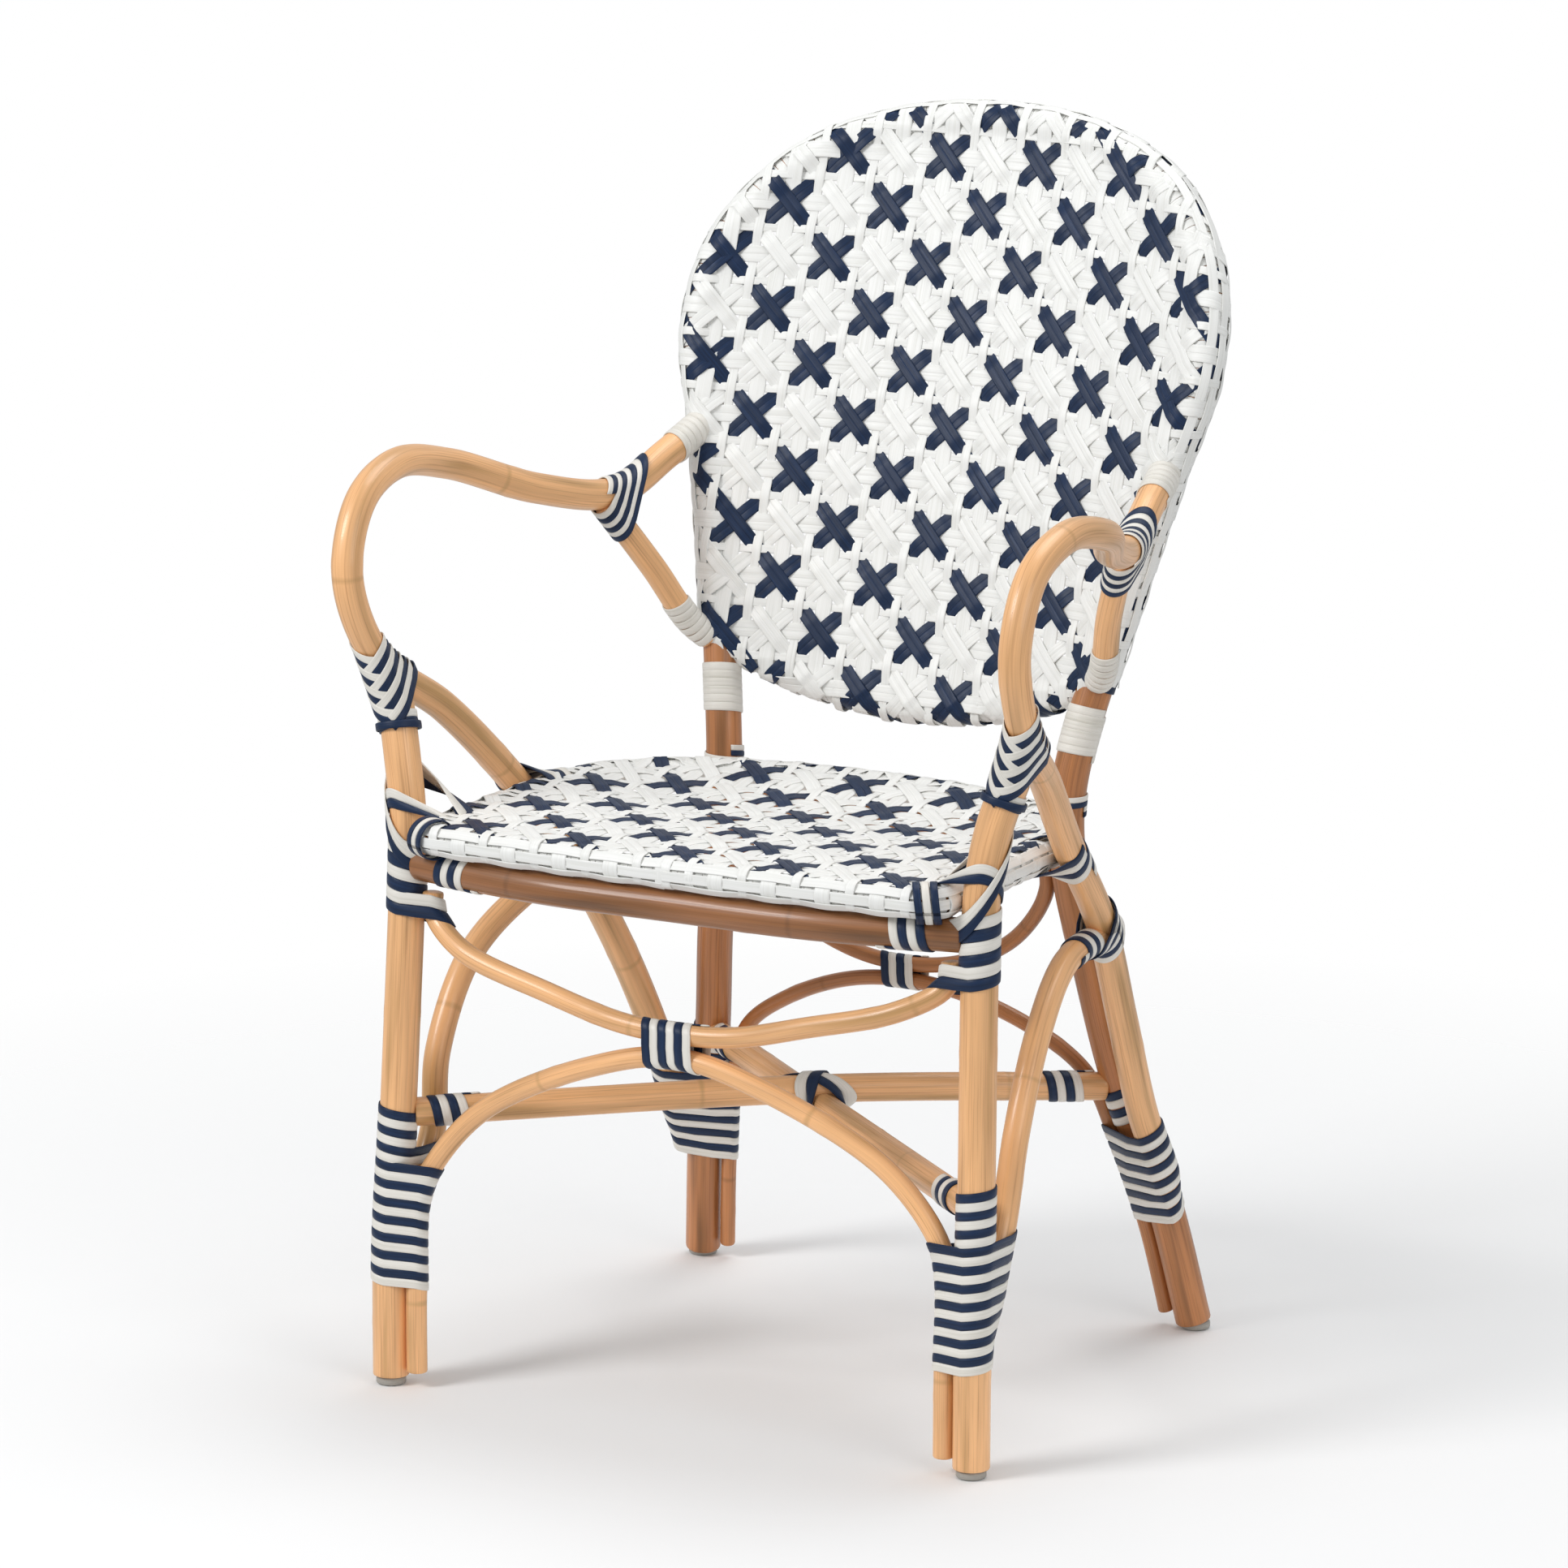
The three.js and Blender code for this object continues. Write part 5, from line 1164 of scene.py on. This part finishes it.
def back_panel():
    """The backrest: its rim runs up one side of the hoop, down the other, and along the bottom rail."""
    start = hoop.high(back_corner_high)
    upper = [back_frame(hoop, d) for d in np.linspace(start, hoop.length - start, HOOP_PLACES)]
    lower = [back_frame(bottom_rail, d) for d in np.linspace(0, bottom_rail.length, RAIL_PLACES)]
    last = upper[-1][0]
    if np.linalg.norm(lower[0][0] - last) > np.linalg.norm(lower[-1][0] - last):
        lower = lower[::-1]
    radii = [hoop_r] * HOOP_PLACES + [mix(hoop_r, bottom_rail_r, min(min(k, RAIL_PLACES - 3 - k) / 6, 1.0))
                                      for k in range(RAIL_PLACES - 2)]
    frames = [((c[0], c[2]), c, f, o, r) for (c, f, o), r in zip(upper + lower[1:-1], radii)]
    return Panel(on_back, lambda a, b: -back_normal(a, b), frames, 11.6, (56, 91, 126, 161), 35, (195, 60, 165, 50),
                 HOOP_PLACES - 1)


def seat_panel():
    """The seat, whose rim is the ring inside its edge."""
    frames = [((c[0], c[1]), c, f, o, seat_ring_r)
              for c, f, o in map(seat_frame, np.linspace(0, seat_ring.length, RING_PLACES, endpoint=False))]

    def place(a, b, off):
        return np.stack([a, b, rim_high + off - sunk(a, b)], axis=-1)

    def normal(a, b):
        e = 0.5
        return rows_unit(np.stack([(sunk(a + e, b) - sunk(a - e, b)) / (2 * e),
                                   (sunk(a, b + e) - sunk(a, b - e)) / (2 * e), np.ones_like(a)], axis=-1))
    return Panel(place, normal, frames, seat_ring_r - 0.6, (45, 90, 135), 45, (195, 45, 40, 40))


# What the sidebar shows
def colour(label, about, *rgb):
    return bpy.props.FloatVectorProperty(name=label, description="Colour of the " + about, subtype="COLOR", size=4,
                                         min=0, max=1, default=srgb(*rgb))


class RattanChairColours(bpy.types.PropertyGroup):
    """Colours of the chair's own finishes"""
    honey: colour("Honey rattan", "pale poles", 236, 181, 126)
    brown: colour("Brown rattan", "darker poles", 190, 125, 74)
    navy: colour("Navy strand", "dark strands", 17, 38, 68)
    white: colour("White strand", "woven strands", 240, 240, 237)
    binding_white: colour("Ivory binding", "pale binding strips", 230, 226, 218)


class RattanChairSizes(bpy.types.PropertyGroup):
    """Sizes of the strips"""
    strip_width: bpy.props.FloatProperty(name="Strip width", description="Width of one binding strip, in millimetres",
                                         default=6.85, min=2, max=9)
    strip_thickness: bpy.props.FloatProperty(name="Strip thickness", default=1.1, min=0.4, max=2,
                                             description="Thickness of a binding strip, in millimetres")
    pole_sides: bpy.props.IntProperty(name="Pole sides", description="Corners round each pole", default=28, min=12,
                                      max=64)


SIDES = (("right", False), ("left", True))


def add_piece(build, name, finish, node, slot, mirror=False):
    obj = build.make(name, material(finish), mirror)
    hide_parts(node)


def add_both(build, name, finish, node, slot):
    """The piece at the right and its mirror at the left."""
    for side, mirror in SIDES:
        add_piece(build, "%s_%s" % (name, side), finish, "%s_%s" % (node, side), slot, mirror)


class RATTAN_OT_poles(bpy.types.Operator):
    """Build the bent poles, stretchers and rails"""
    bl_idname = "rattan.poles"
    bl_label = "Bent poles"

    def execute(self, context):
        foot = glide_high + clearance
        gap = (back_rim_r + 1) * 0.6
        paired = (("front_leg", leg, foot, 8), ("arm_pole", arm, gap, 0), ("arm_prop", prop, gap, arm_r - 2),
                  ("side_arch", arch, 0, arm_r - 2))
        for i, (node, route, start, short) in enumerate(paired):
            for side, mirror in SIDES:
                build = pole_build(route, start, route.length - short, 31.0 * (i * 2 + mirror) + 40)
                add_piece(build, "%s_cane_%s" % (node, side), "rattan", "%s_%s" % (node, side), "rattan", mirror)
        single = (("back_hoop", hoop, foot, foot, "dark_rattan"),
                  ("front_bow_stretcher", front_bow, 0, 0, "rattan"),
                  ("front_arch_stretcher", front_arch, tail_foot, tail_foot, "rattan"),
                  ("rear_bow_stretcher", rear_bow, 0, 0, "dark_rattan"),
                  ("rear_arch_stretcher", rear_arch, tail_foot, tail_foot, "dark_rattan"),
                  ("diagonal_a", diagonal_a, leg_r - 2, hoop_r - 2, "rattan"),
                  ("diagonal_b", diagonal_b, leg_r - 2, hoop_r - 2, "rattan"),
                  # The front rail takes the red-brown finish, darkened as painted shade from the seat above it.
                  ("front_rail", front_rail, leg_r - 2, leg_r - 2, "red_brown_rattan_with_painted_shade"),
                  ("rear_rail", rear_rail, hoop_r - 2, hoop_r - 2, "dark_rattan"),
                  ("back_bottom_rail", bottom_rail, 4, 4, "dark_rattan"))
        for i, (node, route, start, short, finish) in enumerate(single):
            build = pole_build(route, start, route.length - short, 23.0 * i + 15)
            add_piece(build, node + "_cane", finish, node, "rattan" if finish == "rattan" else "dark_rattan")
        ring = MeshBuild()
        ring.sweep([[c + f * seat_ring_r * math.cos(a) + o * seat_ring_r * math.sin(a) for a in round_angles(20)]
                    for c, f, o in map(seat_frame, np.linspace(0, seat_ring.length, 420, endpoint=False))], closed=True)
        add_piece(ring, "seat_ring_cane", "dark_rattan", "seat_ring", "dark_rattan")
        return {"FINISHED"}


class RATTAN_OT_bindings(bpy.types.Operator):
    """Wind the navy and white strips round the joints"""
    bl_idname = "rattan.bindings"
    bl_label = "Strip bindings"

    def execute(self, context):
        sizes = context.scene.rattan_chair_sizes
        for name, plan in binding_plans().items():
            pitch, flip = plan.pop("pitch", band_pitch), plan.pop("flip", 1)
            width = sizes.strip_width * pitch / band_pitch
            for finish, shift in (("navy", -flip * pitch / 4), ("binding_white", flip * pitch / 4)):
                build = MeshBuild()
                build.sweep(wind(width=width, shift=shift, thick=sizes.strip_thickness, **plan))
                add = add_piece if name.startswith(("diagonal", "front_centre", "rear_centre")) else add_both
                add(build, "%s_%s" % (name, finish), finish, name, "two_colour_strip")
        for name, rings in white_wraps():
            build = MeshBuild()
            build.sweep(rings)
            add_both(build, name + "_strip", "binding_white", name, "white_strip")
        for side, mirror in SIDES:
            for name, node, strips in (("arm_front_plait", "arm_front_binding", arm_front_strips(PLAIT_FACING[side])),
                                       ("arch_top_loops", "arch_top_wrap", arch_top_strips()),
                                       ("seat_corner_loops", "seat_leg_lashing", seat_corner_strips())):
                for tone, build in strips.items():
                    add_piece(build, "%s_%s_%s" % (name, tone, side), tone, "%s_%s" % (node, side), "two_colour_strip",
                              mirror)
        return {"FINISHED"}


def add_woven(panel, part, rim, node, band_width, lattice):
    builds = {"%s_%s" % (part, name): build for name, build in sorted(panel.weave(*lattice).items())}
    builds["%s_%s_bands" % (part, rim)] = panel.band_build(band_width)
    builds["%s_%s_wrap" % (part, rim)] = panel.underlay_build(7.0)
    for name, build in builds.items():
        add_piece(build, name, "navy" if name.endswith("navy") else "white", node, "weave")


class RATTAN_OT_back_weave(bpy.types.Operator):
    """Weave the backrest and plait its rim"""
    bl_idname = "rattan.back_weave"
    bl_label = "Woven backrest"

    def execute(self, context):
        add_woven(back_panel(), "back", "rim", "woven_back", 7.6, BACK_LATTICE)
        return {"FINISHED"}


class RATTAN_OT_seat_weave(bpy.types.Operator):
    """Weave the seat and plait its edge"""
    bl_idname = "rattan.seat_weave"
    bl_label = "Woven seat"

    def execute(self, context):
        add_woven(seat_panel(), "seat", "edge", "woven_seat", 7.8, SEAT_LATTICE)
        return {"FINISHED"}


class RATTAN_OT_glides(bpy.types.Operator):
    """Turn the four glides"""
    bl_idname = "rattan.glides"
    bl_label = "Glides"

    def execute(self, context):
        profile = [(0.4, 0.0), (8.6, 0.0), (9.6, 0.25), (10.9, 1.0), (11.4, 1.8), (11.5, 4.6), (11.2, 6.0), (10.4, 6.5),
                   (0.4, 6.5)]
        for node, x, y in (("glide_front", front_half, 0.0), ("glide_rear", rear_half, foot_depth)):
            build = MeshBuild()
            build.sweep([[vec(x + r * math.cos(a), y + r * math.sin(a), z) for a in round_angles(40)]
                         for r, z in profile])
            add_both(build, node + "_cap", "glide", node, "glide")
        return {"FINISHED"}


def add_object(name, data, at=(0, 0, 0), way=None):
    obj = bpy.data.objects.new(name, data)
    bpy.context.scene.collection.objects.link(obj)
    obj.location = at
    if way is not None:
        obj.rotation_euler = Vector(way).to_track_quat("-Z", "Y").to_euler()
    return obj


def area_light(name, at, toward, size, power):
    data = bpy.data.lights.new(name, "AREA")
    data.shape, data.size, data.energy = "DISK", size, power
    add_object(name, data, at, Vector(toward) - Vector(at))


def floor_material():
    """A pale floor that fades out away from the chair."""
    mat, tree, bsdf = plain_material("Pale floor", {"Base Color": grey(0.93), "Roughness": 0.8,
                                                    "Specular IOR Level": 0.1})
    place = add_node(tree, "NewGeometry").outputs["Position"]
    far = add_node(tree, "VectorMath", {0: place}, operation="LENGTH").outputs["Value"]
    fade = add_node(tree, "MapRange", {"Value": far, "From Min": 0.45, "From Max": 1.3}).outputs[0]
    clear = add_node(tree, "BsdfTransparent").outputs[0]
    blend = add_node(tree, "MixShader", {0: fade, 1: bsdf.outputs[0], 2: clear})
    feed(tree, tree.nodes["Material Output"], {0: blend.outputs[0]})
    return mat


class RATTAN_OT_stage(bpy.types.Operator):
    """Set the floor, the lamps and the camera"""
    bl_idname = "rattan.stage"
    bl_label = "Stage"

    def execute(self, context):
        scene = context.scene
        scene.view_settings.view_transform = "Standard"
        around, rings = 64, 26
        mesh = bpy.data.meshes.new("floor")
        verts = [(0, 0, 0)] + [(90 * 1.16 ** i * MM * math.cos(a), 90 * 1.16 ** i * MM * math.sin(a), 0)
                               for i in range(rings) for a in round_angles(around)]
        faces = [(0, 1 + j, 1 + (j + 1) % around) for j in range(around)]
        for inner in range(1, 1 + (rings - 1) * around, around):
            faces += [(inner + j, inner + around + j, inner + around + (j + 1) % around, inner + (j + 1) % around)
                      for j in range(around)]
        mesh.from_pydata(verts, [], faces)
        mesh.materials.append(floor_material())
        add_object("floor", mesh)

        world = bpy.data.worlds.new("studio")
        scene.world = world
        world.use_nodes = True
        tree = world.node_tree
        back = tree.nodes["Background"]
        feed(tree, back, {"Color": (0.96, 0.98, 1.0, 1), "Strength": 0.52})
        white = add_node(tree, "Background", {"Color": grey(1), "Strength": 1.0})
        seen = add_node(tree, "LightPath").outputs["Is Camera Ray"]
        blend = add_node(tree, "MixShader", {0: seen, 1: back.outputs[0], 2: white.outputs[0]})
        feed(tree, tree.nodes["World Output"], {0: blend.outputs[0]})

        area_light("key", (-1.9, -3.0, 2.9), (0, 0, 0.45), 1.6, 84)
        area_light("fill", (3.2, -1.6, 1.9), (0, 0, 0.5), 2.2, 22)
        area_light("top", (0.2, 0.9, 3.2), (0, 0, 0.5), 2.0, 30)

        camera = bpy.data.cameras.new("camera")
        camera.sensor_width, camera.lens = 36, 11481 / 1932 * 36
        camera.clip_end = 60
        scene.camera = add_object("camera", camera, (3.317, -6.0815, 2.049), (-0.4722, 0.8521, -0.2258))
        return {"FINISHED"}


class RATTAN_PT_panel(bpy.types.Panel):
    """Lists the chair's pieces, sizes and colours"""
    bl_label = "Rattan chair"
    bl_idname = "RATTAN_PT_panel"
    bl_space_type = "VIEW_3D"
    bl_region_type = "UI"
    bl_category = "Rattan chair"

    def draw(self, context):
        column = self.layout.column()
        for prop_name in ("strip_width", "strip_thickness", "pole_sides"):
            column.prop(context.scene.rattan_chair_sizes, prop_name)
        for prop_name in ("honey", "brown", "navy", "white", "binding_white"):
            column.prop(context.scene.rattan_chair_colours, prop_name)
        for operator in PIECES:
            column.operator(operator.bl_idname)


PIECES = (RATTAN_OT_poles, RATTAN_OT_bindings, RATTAN_OT_back_weave, RATTAN_OT_seat_weave, RATTAN_OT_glides,
          RATTAN_OT_stage)
GROUPS = (RattanChairColours, RattanChairSizes)


def register():
    for cls in GROUPS + PIECES + (RATTAN_PT_panel,):
        bpy.utils.register_class(cls)
    bpy.types.Scene.rattan_chair_colours = bpy.props.PointerProperty(type=RattanChairColours)
    bpy.types.Scene.rattan_chair_sizes = bpy.props.PointerProperty(type=RattanChairSizes)


def unregister():
    del bpy.types.Scene.rattan_chair_sizes
    del bpy.types.Scene.rattan_chair_colours
    for cls in (RATTAN_PT_panel,) + PIECES[::-1] + GROUPS[::-1]:
        bpy.utils.unregister_class(cls)


def main():
    register()
    bpy.ops.rattan.poles()
    bpy.ops.rattan.bindings()
    bpy.ops.rattan.back_weave()
    bpy.ops.rattan.seat_weave()
    bpy.ops.rattan.glides()
    bpy.ops.rattan.stage()


if __name__ == "__main__":
    main()
